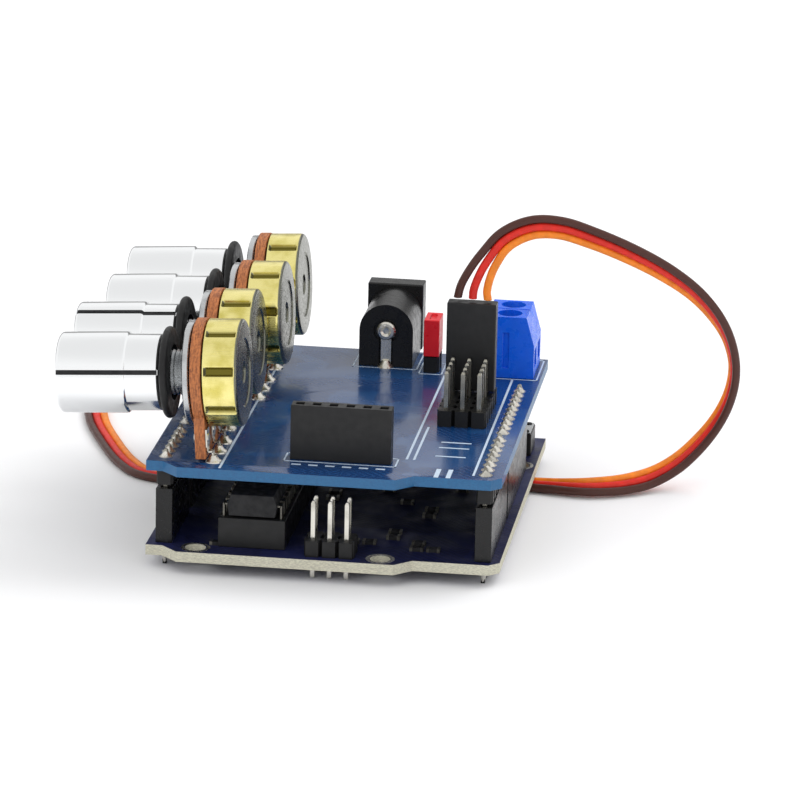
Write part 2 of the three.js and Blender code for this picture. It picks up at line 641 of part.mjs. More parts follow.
/** The flat lead: a straight bar of its section, bent along the route step by step. */
function servoLead() {
  const { width, thick, steps, sides } = LEAD;
  const route = new THREE.CatmullRomCurve3(LEAD_ROUTE.map(([x, y, z]) => new THREE.Vector3(x, y, z)));
  const lay = new THREE.CatmullRomCurve3(
    LEAD_ROUTE.map((point) => new THREE.Vector3(point[3], point[4], point[5])));
  const outline = Array.from({ length: sides }, (_, i) => {
    const angle = ((i + 0.5) * 2 * Math.PI) / sides;
    const [across, up] = [Math.cos(angle), Math.sin(angle)];
    return new THREE.Vector2(
      Math.sign(across) * (Math.abs(across) > 0.5 ? width / 2 : width / 2 - 0.4),
      Math.sign(up) * (Math.abs(up) > 0.5 ? thick / 2 : thick / 4));
  });
  const bar = new THREE.ExtrudeGeometry(new THREE.Shape(outline),
    { depth: steps, steps, bevelEnabled: false });
  const places = bar.getAttribute('position');
  for (let i = 0; i < places.count; i += 1) {
    const t = route.getUtoTmapping(places.getZ(i) / steps);
    const tangent = route.getTangent(t);
    const across = lay.getPoint(t).projectOnPlane(tangent).normalize();
    const up = tangent.clone().cross(across);
    const place = route.getPoint(t)
      .addScaledVector(across, places.getX(i))
      .addScaledVector(up, places.getY(i));
    places.setXYZ(i, place.x, place.y, place.z);
  }
  return toSolid(bar);
}

// ---- the whole stack ----

const stack = new THREE.Group();

stack.add(piece('controller_board', controllerBoard(), FINISH.controllerBoard));
stack.add(piece('shield_board', shieldBoard(), FINISH.shieldBoard));
for (const [row, place] of Object.entries(ROWS)) {
  stack.add(piece(`${row}_header`, femaleHeader(place), FINISH.blackPlastic));
  stack.add(piece(`${row}_pins`, pinStrip(place), FINISH.pinMetal));
}

stack.add(
  piece('usb_socket', usbSocket(), FINISH.steel),
  piece('usb_tongue', usbTongue(), FINISH.whitePlastic),
  piece('power_jack', powerJack(), FINISH.blackPlastic),
  piece('power_jack_pin', powerJackPin(), FINISH.pinMetal),
  piece('programming_header', programmingHeader(), FINISH.pinMetal),
  piece('chip_socket', chipSocket(), FINISH.blackPlastic),
  piece('controller_chip', chip(), FINISH.chipPlastic),
  piece('clock_crystal', crystal(), FINISH.canMetal),
  piece('capacitor_1', capacitor(6.5, 51.5), FINISH.canMetal),
  piece('capacitor_2', capacitor(14.2, 51.5), FINISH.canMetal),
  piece('reset_switch', resetSwitch(), FINISH.blackPlastic),
  piece('reset_button', resetButton(), FINISH.blackPlastic),
);

POT.y.forEach((y, i) => stack.add(potentiometer(i + 1, [POT.x[i], y], POINTERS[i])));

stack.add(
  piece('shield_jack', shieldJack(), FINISH.blackPlastic),
  piece('shield_jack_contact', shieldJackContact(), FINISH.pinMetal),
  piece('jumper_pins', jumperPins(), FINISH.pinMetal),
  piece('jumper_cap', jumperCap(), FINISH.redPlastic),
  piece('side_header', sideHeader(), FINISH.blackPlastic),
  piece('servo_pins', servoPins(), FINISH.pinMetal),
  piece('terminal_block', terminalBlock(), FINISH.bluePlastic),
  piece('terminal_screw_1', terminalScrew(0), FINISH.steel),
  piece('terminal_screw_2', terminalScrew(1), FINISH.steel),
);

stack.add(servoPlug(), piece('servo_lead', servoLead(), FINISH.lead), leadSocket());

// The footprint's centre, without the lead and its far connector, is the origin.
const LEAD_PIECES = ['servo_plug', 'servo_lead', 'lead_socket'];
stack.updateMatrixWorld(true);
const footprint = new THREE.Box3();
stack.traverse((node) => {
  if (node.isMesh && !LEAD_PIECES.includes(node.name)) footprint.expandByObject(node, true);
});
const middle = footprint.getCenter(new THREE.Vector3());
stack.position.set(-middle.x, -middle.y, -footprint.min.z);

export default stack;
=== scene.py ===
"""The looks of a robot-arm control stack: a controller board, a four-knob servo shield
plugged on top of it, and the flat three-wire servo lead that is plugged into the shield.

Lengths are metres in the frame's own axes: +X runs across the boards from the knobs to the
servo pins, +Y along them to the power sockets, +Z up from the table.
"""

import json
import logging
import math
from collections.abc import Iterable, Sequence
from dataclasses import dataclass, field
from enum import Enum

import bmesh
import bpy
from mathutils import Matrix, Vector


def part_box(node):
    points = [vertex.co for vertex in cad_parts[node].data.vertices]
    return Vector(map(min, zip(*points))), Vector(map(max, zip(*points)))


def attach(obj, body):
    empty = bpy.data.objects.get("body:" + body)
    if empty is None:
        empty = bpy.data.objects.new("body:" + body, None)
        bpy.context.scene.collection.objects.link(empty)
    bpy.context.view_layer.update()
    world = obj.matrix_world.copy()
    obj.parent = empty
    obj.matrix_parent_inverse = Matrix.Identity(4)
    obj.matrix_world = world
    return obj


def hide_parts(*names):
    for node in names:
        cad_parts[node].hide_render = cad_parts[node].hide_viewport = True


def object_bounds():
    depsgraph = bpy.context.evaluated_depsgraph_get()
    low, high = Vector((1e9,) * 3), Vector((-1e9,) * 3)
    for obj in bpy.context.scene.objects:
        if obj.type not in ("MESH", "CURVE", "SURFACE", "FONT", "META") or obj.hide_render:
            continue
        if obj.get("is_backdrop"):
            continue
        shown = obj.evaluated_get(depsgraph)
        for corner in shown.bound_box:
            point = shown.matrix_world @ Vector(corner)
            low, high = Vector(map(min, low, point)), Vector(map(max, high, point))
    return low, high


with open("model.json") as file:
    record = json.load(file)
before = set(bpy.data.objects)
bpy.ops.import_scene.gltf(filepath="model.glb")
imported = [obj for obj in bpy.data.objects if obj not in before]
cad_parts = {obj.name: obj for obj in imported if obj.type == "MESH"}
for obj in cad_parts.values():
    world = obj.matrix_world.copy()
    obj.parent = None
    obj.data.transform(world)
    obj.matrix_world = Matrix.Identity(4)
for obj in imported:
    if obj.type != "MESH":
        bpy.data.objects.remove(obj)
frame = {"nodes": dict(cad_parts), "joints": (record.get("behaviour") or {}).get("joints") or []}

log = logging.getLogger("control_stack")

MM = 0.001
PITCH = 2.54 * MM  # pin to pin
PIN = 0.64 * MM  # square pin
BODY = "boards"
SMOOTH_UNDER = math.radians(32)  # an edge that turns less is smooth
FLAT_UNDER = math.radians(1)  # faces that turn less are one flat face
EASE_OVER = math.radians(38)  # an edge that turns more is eased
WELD = 1e-7  # points that are closer are one
CAD_WELD = 1e-6  # the same for a CAD node's corners
ON_AXIS = 1e-9  # a smaller radius is a point on the axis

Pair = tuple[float, float]
Point = tuple[float, float, float]
Colour = tuple[float, float, float, float]
Socket = bpy.types.NodeSocket

# These turn an outline, drawn across and up, so that it's drawn out along X or along Y.
OUT_ALONG_X = Matrix(((0, 0, 1, 0), (1, 0, 0, 0), (0, 1, 0, 0), (0, 0, 0, 1)))
OUT_ALONG_Y = Matrix(((1, 0, 0, 0), (0, 0, 1, 0), (0, 1, 0, 0), (0, 0, 0, 1)))


def paint(code: str) -> Colour:
    """The linear colour of a display colour such as "#1c3c78".

    Args:
        code: the colour, as a hash and six digits.

    Returns:
        Its red, green, blue and alpha.
    """
    parts = [int(code[i : i + 2], 16) / 255 for i in (1, 3, 5)]
    linear = [c / 12.92 if c <= 0.04045 else ((c + 0.055) / 1.055) ** 2.4 for c in parts]
    return (*linear, 1.0)


# ---- node trees ----


class Wiring:
    """A node tree under construction, whose sockets take outputs or plain values."""

    def __init__(self, tree: bpy.types.NodeTree) -> None:
        """Work on a tree."""
        self.tree = tree

    def feed(self, socket: Socket, value: object) -> None:
        """Join an output to a socket, or set the socket's own value."""
        if isinstance(value, Socket):
            self.tree.links.new(value, socket)
        else:
            socket.default_value = value

    def sum(self, operation: str, *values: object) -> Socket:
        """One sum.

        Args:
            operation: the name of the sum.
            values: numbers or outputs that go in.

        Returns:
            The output with the result.
        """
        node = self.tree.nodes.new("ShaderNodeMath")
        node.operation = operation
        for socket, value in zip(node.inputs, values):
            self.feed(socket, value)
        return node.outputs[0]

    def spread(self, value: object, low: object, high: object, start: float, end: float) -> Socket:
        """A value from low to high, smoothly stretched to run from start to end.

        Args:
            value: the value that is stretched.
            low: the value that becomes start.
            high: the value that becomes end.
            start: the lowest result.
            end: the highest result.

        Returns:
            The output.
        """
        node = self.tree.nodes.new("ShaderNodeMapRange")
        node.interpolation_type = "SMOOTHSTEP"
        for socket, given in zip(node.inputs, (value, low, high, start, end)):
            self.feed(socket, given)
        return node.outputs[0]

    def axes(self, vector: object) -> Sequence[Socket]:
        """The three parts of a vector.

        Args:
            vector: the vector.

        Returns:
            The outputs for x, y and z.
        """
        node = self.tree.nodes.new("ShaderNodeSeparateXYZ")
        self.feed(node.inputs[0], vector)
        return node.outputs


# ---- materials ----


class Recipe(Wiring):
    """The node tree of one material, while it is being put together."""

    def __init__(self, name: str) -> None:
        """Start a material.

        Args:
            name: what the material is called.
        """
        self.material = bpy.data.materials.new(name)
        self.material.use_nodes = True
        super().__init__(self.material.node_tree)
        self.shader = self.tree.nodes["Principled BSDF"]
        self.place = self.tree.nodes.new("ShaderNodeTexCoord").outputs["Object"]

    def blend(self, share: object, first: object, second: object) -> Socket:
        """A colour between two colours, the second at share 1.

        Args:
            share: how much of the second there is.
            first: the first colour.
            second: the second colour.

        Returns:
            The output.
        """
        node = self.tree.nodes.new("ShaderNodeMix")
        node.data_type = "RGBA"
        for index, value in ((0, share), (6, first), (7, second)):
            self.feed(node.inputs[index], value)
        return node.outputs[2]

    def stretched(self, scale: Point) -> Socket:
        """The place on the piece, scaled along each axis.

        Args:
            scale: how much along each axis.

        Returns:
            The output.
        """
        node = self.tree.nodes.new("ShaderNodeMapping")
        self.feed(node.inputs["Vector"], self.place)
        node.inputs["Scale"].default_value = scale
        return node.outputs[0]

    def noise(self, per_metre: float, detail: float = 3, at: object = None) -> Socket:
        """Soft noise.

        Args:
            per_metre: how many blotches there are in a metre.
            detail: how many finer layers it has.
            at: the place that it is read at.

        Returns:
            The output, from 0 to 1.
        """
        node = self.tree.nodes.new("ShaderNodeTexNoise")
        self.feed(node.inputs["Vector"], at or self.place)
        node.inputs["Scale"].default_value = per_metre
        node.inputs["Detail"].default_value = detail
        return node.outputs["Fac"]

    def normal(self) -> Sequence[Socket]:
        """The three parts of the surface's direction."""
        return self.axes(self.tree.nodes.new("ShaderNodeNewGeometry").outputs["Normal"])

    def relief(self, height: object, depth: float, strength: float = 1.0) -> None:
        """Small bumps in the surface.

        Args:
            height: how high the surface stands, from 0 to 1.
            depth: how deep that is, in metres.
            strength: how much of it shows.
        """
        node = self.tree.nodes.new("ShaderNodeBump")
        node.inputs["Strength"].default_value = strength
        node.inputs["Distance"].default_value = depth
        self.feed(node.inputs["Height"], height)
        self.feed(self.shader.inputs["Normal"], node.outputs[0])

    def set(self, **values: object) -> None:
        """Set the shader's inputs, with underscores for the spaces in their names."""
        for name, value in values.items():
            self.feed(self.shader.inputs[name.replace("_", " ")], value)


@dataclass(frozen=True)
class Moulded:
    """A moulded plastic: faint mottling, a fine grain and a gloss that handling has scuffed.

    Attributes:
        name: what the material is called.
        colour: its display colour.
        roughness: how matt it is.
        grain: how deep the grain is, in metres.
        glow: how far light travels in it, in metres.
        sheen: how much it mirrors.
    """

    name: str
    colour: str
    roughness: float = 0.35
    grain: float = 0.005 * MM
    glow: float = 0.0
    sheen: float = 0.35

    def material(self) -> bpy.types.Material:
        """The material."""
        recipe = Recipe(self.name)
        base = paint(self.colour)
        light = (*[min(1.0, c * 1.25 + 0.004) for c in base[:3]], 1.0)
        recipe.set(
            Base_Color=recipe.blend(recipe.noise(420, 5), base, light),
            Roughness=recipe.spread(recipe.noise(900, 4), 0.3, 0.7,
                                    self.roughness * 0.8, self.roughness * 1.3),
            Subsurface_Weight=0.15 if self.glow else 0.0,
            Subsurface_Scale=self.glow,
            Specular_IOR_Level=self.sheen,
        )
        recipe.relief(recipe.noise(5200, 2), self.grain)
        return recipe.material


class Grain(Enum):
    """The way that the marks run on a metal."""

    EVEN = (1.0, 1.0, 1.0)
    ALONG_X = (0.05, 1.0, 1.0)
    ALONG_Z = (1.0, 1.0, 0.05)


@dataclass(frozen=True)
class Plated:
    """A plated metal, with fine marks that run one way and cloudy gloss.

    Attributes:
        name: what the material is called.
        colour: its display colour.
        shade: the colour of its duller patches.
        roughness: how matt it is.
        grain: the way that its marks run.
        marks: how deep they are, in metres.
        back: the duller colour painted as shade on a face that looks along +X; without it, it's like
            the rest.
        pressed_painted_shade: the darker colour painted as shade where a press has dented it.
    """

    name: str
    colour: str
    shade: str
    roughness: float = 0.25
    grain: Grain = Grain.EVEN
    marks: float = 0.0012 * MM
    back: str = ""
    pressed_painted_shade: str = ""

    def material(self) -> bpy.types.Material:
        """The material."""
        recipe = Recipe(self.name)
        drawn = recipe.stretched(self.grain.value)
        cloud = recipe.spread(recipe.noise(330, 5), 0.4, 0.75, 0.0, 1.0)
        colour = recipe.blend(cloud, paint(self.colour), paint(self.shade))
        # Painted shade: the dents that the crimp tree stored take a darker colour.
        if self.pressed_painted_shade:
            painted_shade_in_dents = recipe.tree.nodes.new("ShaderNodeAttribute")
            painted_shade_in_dents.attribute_name = "pressed_painted_shade"
            colour = recipe.blend(painted_shade_in_dents.outputs["Fac"], colour, paint(self.pressed_painted_shade))
        # Painted shade: faces that look along +X take the back colour.
        if self.back:
            behind = recipe.spread(recipe.normal()[0], 0.25, 0.55, 0.0, 1.0)
            colour = recipe.blend(behind, colour, paint(self.back))
        recipe.set(
            Metallic=1.0,
            Base_Color=colour,
            Roughness=recipe.spread(recipe.noise(2600, 4, drawn), 0.25, 0.75,
                                    self.roughness * 0.7, self.roughness * 1.5),
        )
        recipe.relief(recipe.noise(3800, 3, drawn), self.marks)
        return recipe.material


@dataclass(frozen=True)
class Laminate:
    """A circuit board: glossy solder mask over copper tracks, and a bare sawn edge.

    Attributes:
        name: what the material is called.
        mask: the solder mask's colour over bare laminate.
        track: its colour over copper.
        edge: the sawn edge's colour.
        roughness: how matt the mask is.
        gloss: how much clear gloss lies over it.
        patch: how wide a patch is whose tracks run one way.
        fold: how far the tracks run before they turn.
        pitch: how far apart they are.
    """

    name: str
    mask: str
    track: str
    edge: str
    roughness: float = 0.2
    gloss: float = 0.3
    patch: float = 7 * MM
    fold: float = 9 * MM
    pitch: float = 1.27 * MM

    def tracks(self, recipe: Recipe) -> Socket:
        """The copper pattern: bundles of tracks that run one way, then the other.

        Args:
            recipe: the material's node tree.

        Returns:
            The output, 1 over copper.
        """
        cells = recipe.tree.nodes.new("ShaderNodeTexVoronoi")
        cells.distance = "CHEBYCHEV"
        cells.inputs["Scale"].default_value = 1 / self.patch
        recipe.feed(cells.inputs["Vector"], recipe.place)
        pick = recipe.axes(cells.outputs["Color"])
        x, y, _ = recipe.axes(recipe.place)
        lines = []
        for along, other in ((x, y), (y, x)):
            bent = recipe.sum("ADD", along, recipe.sum("PINGPONG", other, self.fold))
            turn = recipe.sum("ADD", recipe.sum("DIVIDE", bent, self.pitch), pick[1])
            wave = recipe.sum("ABSOLUTE", recipe.sum("SUBTRACT", recipe.sum("FRACT", turn), 0.5))
            lines.append(recipe.spread(wave, 0.12, 0.17, 1.0, 0.0))
        way = recipe.sum("GREATER_THAN", pick[0], 0.5)
        choice = recipe.tree.nodes.new("ShaderNodeMix")
        for socket, value in zip(choice.inputs, (way, None, *lines)):
            if value is not None:
                recipe.feed(socket, value)
        plane = recipe.sum("GREATER_THAN", pick[2], 0.62)
        return recipe.sum("MAXIMUM", recipe.sum("MULTIPLY", choice.outputs[0], 0.85), plane)

    def material(self) -> bpy.types.Material:
        """The material."""
        recipe = Recipe(self.name)
        copper = self.tracks(recipe)
        mask = recipe.blend(copper, paint(self.mask), paint(self.track))
        upright = recipe.sum("ABSOLUTE", recipe.normal()[2])
        on_edge = recipe.sum("LESS_THAN", upright, 0.6)
        fibre = recipe.noise(2500, 3, recipe.stretched((1.0, 1.0, 6.0)))
        worn = recipe.spread(fibre, 0.3, 0.7, 0.0, 0.4)
        edge = recipe.blend(worn, paint(self.edge), paint(self.mask))
        matt = recipe.sum("MULTIPLY", on_edge, 0.35)
        gloss = recipe.spread(recipe.noise(160, 5), 0.3, 0.7,
                              self.roughness * 0.75, self.roughness * 1.4)
        recipe.set(
            Base_Color=recipe.blend(on_edge, mask, edge),
            Roughness=recipe.sum("ADD", gloss, matt),
            Coat_Weight=self.gloss,
            Coat_Roughness=0.08,
        )
        height = recipe.sum("ADD", copper, recipe.sum("MULTIPLY", fibre, 0.15))
        recipe.relief(height, 0.03 * MM, 0.8)
        return recipe.material


@dataclass(frozen=True)
class ResinPaper:
    """Brown resin-bonded paper, in layers along its thickness.

    Attributes:
        name: what the material is called.
        colour: its display colour.
        shade: the colour of its darker layers.
    """

    name: str
    colour: str
    shade: str

    def material(self) -> bpy.types.Material:
        """The material."""
        recipe = Recipe(self.name)
        layers = recipe.noise(900, 3, recipe.stretched((7.0, 1.0, 1.0)))
        fibre = recipe.noise(3000, 4)
        mottled = recipe.sum("MULTIPLY", layers, recipe.sum("ADD", fibre, 0.4))
        recipe.set(
            Base_Color=recipe.blend(recipe.spread(mottled, 0.25, 0.65, 0.0, 1.0),
                                    paint(self.colour), paint(self.shade)),
            Roughness=0.55,
        )
        recipe.relief(fibre, 0.03 * MM)
        return recipe.material


@dataclass(frozen=True)
class Insulation:
    """The soft insulation of the lead's wires, whose number along the row sets the colour.

    Attributes:
        name: what the material is called.
        colours: one display colour for each wire.
        roughness: how matt it is.
        soil: the colour of its grubby patches.
    """

    name: str
    colours: tuple[str, str, str]
    roughness: float = 0.38
    soil: str = "#3a1410"

    def material(self) -> bpy.types.Material:
        """The material."""
        recipe = Recipe(self.name)
        wire = recipe.tree.nodes.new("ShaderNodeAttribute")
        wire.attribute_name = "wire"
        number = wire.outputs["Fac"]
        first, second, third = (paint(c) for c in self.colours)
        low = recipe.blend(recipe.sum("GREATER_THAN", number, 0.5), first, second)
        colour = recipe.blend(recipe.sum("GREATER_THAN", number, 1.5), low, third)
        cloud = recipe.spread(recipe.noise(700, 4), 0.3, 0.7, 0.0, 0.18)
        recipe.set(
            Base_Color=recipe.blend(cloud, colour, paint(self.soil)),
            Roughness=recipe.spread(recipe.noise(1500, 3), 0.3, 0.7,
                                    self.roughness * 0.85, self.roughness * 1.25),
            Specular_IOR_Level=0.35,
            Subsurface_Weight=0.1,
            Subsurface_Scale=0.4 * MM,
        )
        recipe.relief(recipe.noise(2600, 3), 0.02 * MM)
        return recipe.material


class Finish(Enum):
    """The finishes of the stack's pieces, each with the frame's slot that it belongs to."""

    SHIELD = (Laminate("shield laminate", "#0f3566", "#194679", "#14608f", 0.22), "shield_pcb")
    CONTROLLER = (Laminate("controller laminate", "#0e1238", "#161c4c", "#d3d0bb", 0.5, 0.0),
                  "controller_pcb")
    BLACK = (Moulded("black moulding", "#101011", 0.28), "black_plastic")
    SATIN_BLACK = (Moulded("satin black moulding", "#151516", 0.4), "black_plastic")
    KNOB_BLACK = (Moulded("knob moulding", "#0d0d0e", 0.45), "black_plastic")
    STRIP_BLACK = (Moulded("pin strip moulding", "#0e0e0f", 0.4), "pin_strip")
    CHIP = (Moulded("chip compound", "#1a1a1c", 0.6, 0.03 * MM), "chip_plastic")
    BLUE = (Moulded("terminal moulding", "#0559d8", 0.3, glow=0.2 * MM, sheen=0.4), "blue_plastic")
    RED = (Moulded("jumper moulding", "#cc1a26", 0.34, glow=0.4 * MM), "red_plastic")
    WHITE = (Moulded("tongue moulding", "#e6e6e1", 0.4, glow=0.5 * MM), "white_plastic")
    PRINT = (Moulded("white print", "#b4c3d3", 0.6), "shield_pcb")
    # The dark strip that fills each knob's pointer groove.
    GROOVE = (Moulded("pointer groove dark strip", "#19191b", 0.5), "black_plastic")
    BROWN = (ResinPaper("resin paper", "#bf7440", "#7d4524"), "phenolic")
    CHROME = (Plated("chrome", "#f4f5f6", "#e6e8ea", 0.07, marks=0.0006 * MM), "chrome")
    # Painted shade: the yellow can's back colour darkens its end that looks along +X.
    # Painted shade: the yellow can's dent colour darkens its crimps.
    YELLOW = (Plated("yellow passivate", "#f7eb9c", "#d8cb6c", 0.24, Grain.ALONG_X,
                     back="#74756a", pressed_painted_shade="#6f662a"), "passivated_steel")
    STEEL = (Plated("plated steel", "#c9cbcc", "#a9abad", 0.24, marks=0.001 * MM), "steel")
    PIN_METAL = (Plated("tinned pin", "#dedbd2", "#b5b2a8", 0.2, Grain.ALONG_Z), "pin_metal")
    # A darker copy of the tinned pin: painted shade on the pins of the strips, the jumper and the servo
    # block.
    PIN_METAL_PAINTED_SHADE = (Plated("header pin painted shade", "#a5a297", "#7f7c73", 0.26, Grain.ALONG_Z), "pin_strip")
    SOLDER = (Plated("solder", "#e4e1d8", "#bcb9b0", 0.28), "pin_metal")
    DULL_TIN = (Plated("dull tin", "#77756e", "#57554f", 0.4), "pin_metal")
    GOLD = (Plated("gilt contact", "#e6c56a", "#b89240", 0.24), "pin_metal")
    CAN = (Plated("drawn can", "#cfd2d4", "#b2b5b8", 0.2, Grain.ALONG_Z), "can_metal")
    LEAD = (Insulation("wire insulation", ("#4a2820", "#e0281c", "#f58a24")), "lead_insulation")

    @property
    def material(self) -> bpy.types.Material:
        """The finish's material, which is made the first time it's asked for."""
        look = self.value[0]
        return bpy.data.materials.get(look.name) or look.material()

    @property
    def slot(self) -> str:
        """The frame's material slot that the finish belongs to."""
        return self.value[1]


# ---- making meshes ----


def in_mm(*points: Pair) -> list[Pair]:
    """Points given in millimetres, in metres."""
    return [(u * MM, v * MM) for u, v in points]


def arc(middle: Pair, radius: float, start: float, end: float, steps: int) -> list[Pair]:
    """Points on an arc.

    Args:
        middle: its centre.
        radius: its radius.
        start: the first point's angle, in degrees.
        end: the last point's angle.
        steps: how many steps lie between them.

    Returns:
        The points.
    """
    turns = [math.radians(start + (end - start) * i / steps) for i in range(steps + 1)]
    return [(middle[0] + radius * math.cos(a), middle[1] + radius * math.sin(a)) for a in turns]


@dataclass
class Solid:
    """A mesh under construction, with the transform that places its parts.

    Attributes:
        where: puts local points into the frame.
    """

    where: Matrix = field(default_factory=lambda: Matrix.Identity(4))

    def __post_init__(self) -> None:
        """Start with an empty mesh."""
        self.mesh = bmesh.new()

    def block(self, low: Point, high: Point) -> "Solid":
        """Add a box between two corners.

        Args:
            low: its lowest corner.
            high: its highest corner.

        Returns:
            The same solid.
        """
        low, high = Vector(low), Vector(high)
        size = Matrix.Diagonal((*(high - low), 1.0))
        place = self.where @ Matrix.Translation((low + high) / 2) @ size
        bmesh.ops.create_cube(self.mesh, size=1.0, matrix=place)
        return self

    def prism(self, outline: Sequence[Pair], start: float, end: float,
              way: Matrix | None = None) -> "Solid":
        """Add an outline drawn out from one level to another.

        Args:
            outline: its points, across and up.
            start: the first level.
            end: the last level.
            way: turns the outline's axes; without it they are X and Y, and it's drawn out along Z.

        Returns:
            The same solid.
        """
        place = self.where @ (way or Matrix.Identity(4))
        rings = [[self.mesh.verts.new(place @ Vector((u, v, level))) for u, v in outline]
                 for level in (start, end)]
        self.mesh.faces.new(rings[0][::-1])
        self.mesh.faces.new(rings[1])
        for i in range(len(outline)):
            j = (i + 1) % len(outline)
            self.mesh.faces.new((rings[0][i], rings[0][j], rings[1][j], rings[1][i]))
        return self

    def turned(self, profile: Sequence[Pair], sides: int = 48,
               way: Matrix | None = None) -> "Solid":
        """Add a round piece about the local Z axis.

        Args:
            profile: its [radius, height] points; it starts and ends on the axis, or closes.
            sides: how many sides the rounds have.
            way: turns and moves the piece.

        Returns:
            The same solid.
        """
        place = self.where @ (way or Matrix.Identity(4))
        rings = []
        for radius, height in profile:
            if radius < ON_AXIS:
                rings.append([self.mesh.verts.new(place @ Vector((0, 0, height)))])
                continue
            angles = [2 * math.pi * i / sides for i in range(sides)]
            rings.append([self.mesh.verts.new(place @ Vector(
                (radius * math.cos(a), radius * math.sin(a), height))) for a in angles])
        for below, above in zip(rings, rings[1:]):
            for i in range(sides):
                j = (i + 1) % sides
                corners = [below[i % len(below)], below[j % len(below)],
                           above[j % len(above)], above[i % len(above)]]
                corners = list(dict.fromkeys(corners))
                if len(corners) > 2:
                    self.mesh.faces.new(corners)
        return self

    def as_mesh(self, name: str) -> bpy.types.Mesh:
        """The mesh, closed and with its faces outwards.

        Args:
            name: the piece's name.

        Returns:
            The mesh.
        """
        bmesh.ops.remove_doubles(self.mesh, verts=self.mesh.verts, dist=WELD)
        bmesh.ops.recalc_face_normals(self.mesh, faces=self.mesh.faces)
        data = bpy.data.meshes.new(name)
        self.mesh.to_mesh(data)
        self.mesh.free()
        return data

    def finished(self, name: str) -> bpy.types.Object:
        """The mesh as an object in the scene."""
        return shown(name, self.as_mesh(name))


def smoothed(data: bpy.types.Mesh) -> None:
    """Make a mesh smooth except at its sharp edges."""
    data.shade_smooth()
    data.set_sharp_from_angle(angle=SMOOTH_UNDER)


def shown(name: str, data: bpy.types.Mesh) -> bpy.types.Object:
    """A mesh as an object in the scene, smooth except at its sharp edges.

    Args:
        name: the piece's name.
        data: the mesh.

    Returns:
        The new piece.
    """
    smoothed(data)
    piece = bpy.data.objects.new(name, data)
    bpy.context.scene.collection.objects.link(piece)
    return piece


def settled(piece: bpy.types.Object) -> bpy.types.Object:
    """The piece with its modifiers worked into its mesh.

    Args:
        piece: the piece.

    Returns:
        The piece.
    """
    bpy.context.view_layer.update()
    depsgraph = bpy.context.evaluated_depsgraph_get()
    data = bpy.data.meshes.new_from_object(piece.evaluated_get(depsgraph))
    piece.modifiers.clear()
    old, piece.data = piece.data, data
    data.name = piece.name
    bpy.data.meshes.remove(old)
    return piece


def eased(piece: bpy.types.Object, width: float, segments: int = 2) -> bpy.types.Object:
    """Round a piece's sharp edges, after joining the triangles of each flat face.

    Args:
        piece: the piece.
        width: how far the rounding reaches, in metres.
        segments: how many steps it has.

    Returns:
        The piece.
    """
    mesh = bmesh.new()
    mesh.from_mesh(piece.data)
    bmesh.ops.dissolve_limit(mesh, angle_limit=FLAT_UNDER, verts=mesh.verts, edges=mesh.edges)
    mesh.to_mesh(piece.data)
    mesh.free()
    bevel = piece.modifiers.new("ease", "BEVEL")
    bevel.width = width
    bevel.segments = segments
    bevel.limit_method = "ANGLE"
    bevel.angle_limit = EASE_OVER
    bevel.harden_normals = True
    bevel.use_clamp_overlap = True
    return settled(piece)


def carved(piece: bpy.types.Object, cutter: bpy.types.Object) -> bpy.types.Object:
    """The piece with the cutter's space taken out of it.

    Args:
        piece: the piece.
        cutter: the space to take out; it is used up.

    Returns:
        The piece.
    """
    cut = piece.modifiers.new("carve", "BOOLEAN")
    cut.operation = "DIFFERENCE"
    cut.solver = "EXACT"
    cut.use_self = True
    cut.object = cutter
    settled(piece)
    bpy.data.objects.remove(cutter)
    smoothed(piece.data)
    return piece


def copied(node: str) -> bpy.types.Object:
    """A copy of a CAD node with its corners joined.

    Args:
        node: the node's name.

    Returns:
        The new piece.
    """
    mesh = bmesh.new()
    mesh.from_mesh(frame["nodes"][node].data)
    bmesh.ops.remove_doubles(mesh, verts=mesh.verts, dist=CAD_WELD)
    data = bpy.data.meshes.new(node)
    mesh.to_mesh(data)
    mesh.free()
    return shown(f"{node}_body", data)


def refined(node: str, ease: float = 0.12 * MM) -> bpy.types.Object:
    """A copy of a CAD node with eased edges.

    Args:
        node: the node's name.
        ease: how far the easing reaches, in metres.

    Returns:
        The new piece.
    """
    return eased(copied(node), ease)


def dressed(piece: bpy.types.Object, finish: Finish, body: str, *nodes: str) -> bpy.types.Object:
    """Give a piece its finish, and tie it to the frame.

    Args:
        piece: the piece.
        finish: what it is finished in.
        body: the body that it moves with.
        nodes: the CAD nodes that it stands for.

    Returns:
        The piece.
    """
    piece.data.materials.clear()
    piece.data.materials.append(finish.material)
    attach(piece, body)
    if nodes:
        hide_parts(*nodes)
    log.info("%s: %d faces, on %s", piece.name, len(piece.data.polygons), body)
    return piece


# ---- what repeats: geometry nodes ----


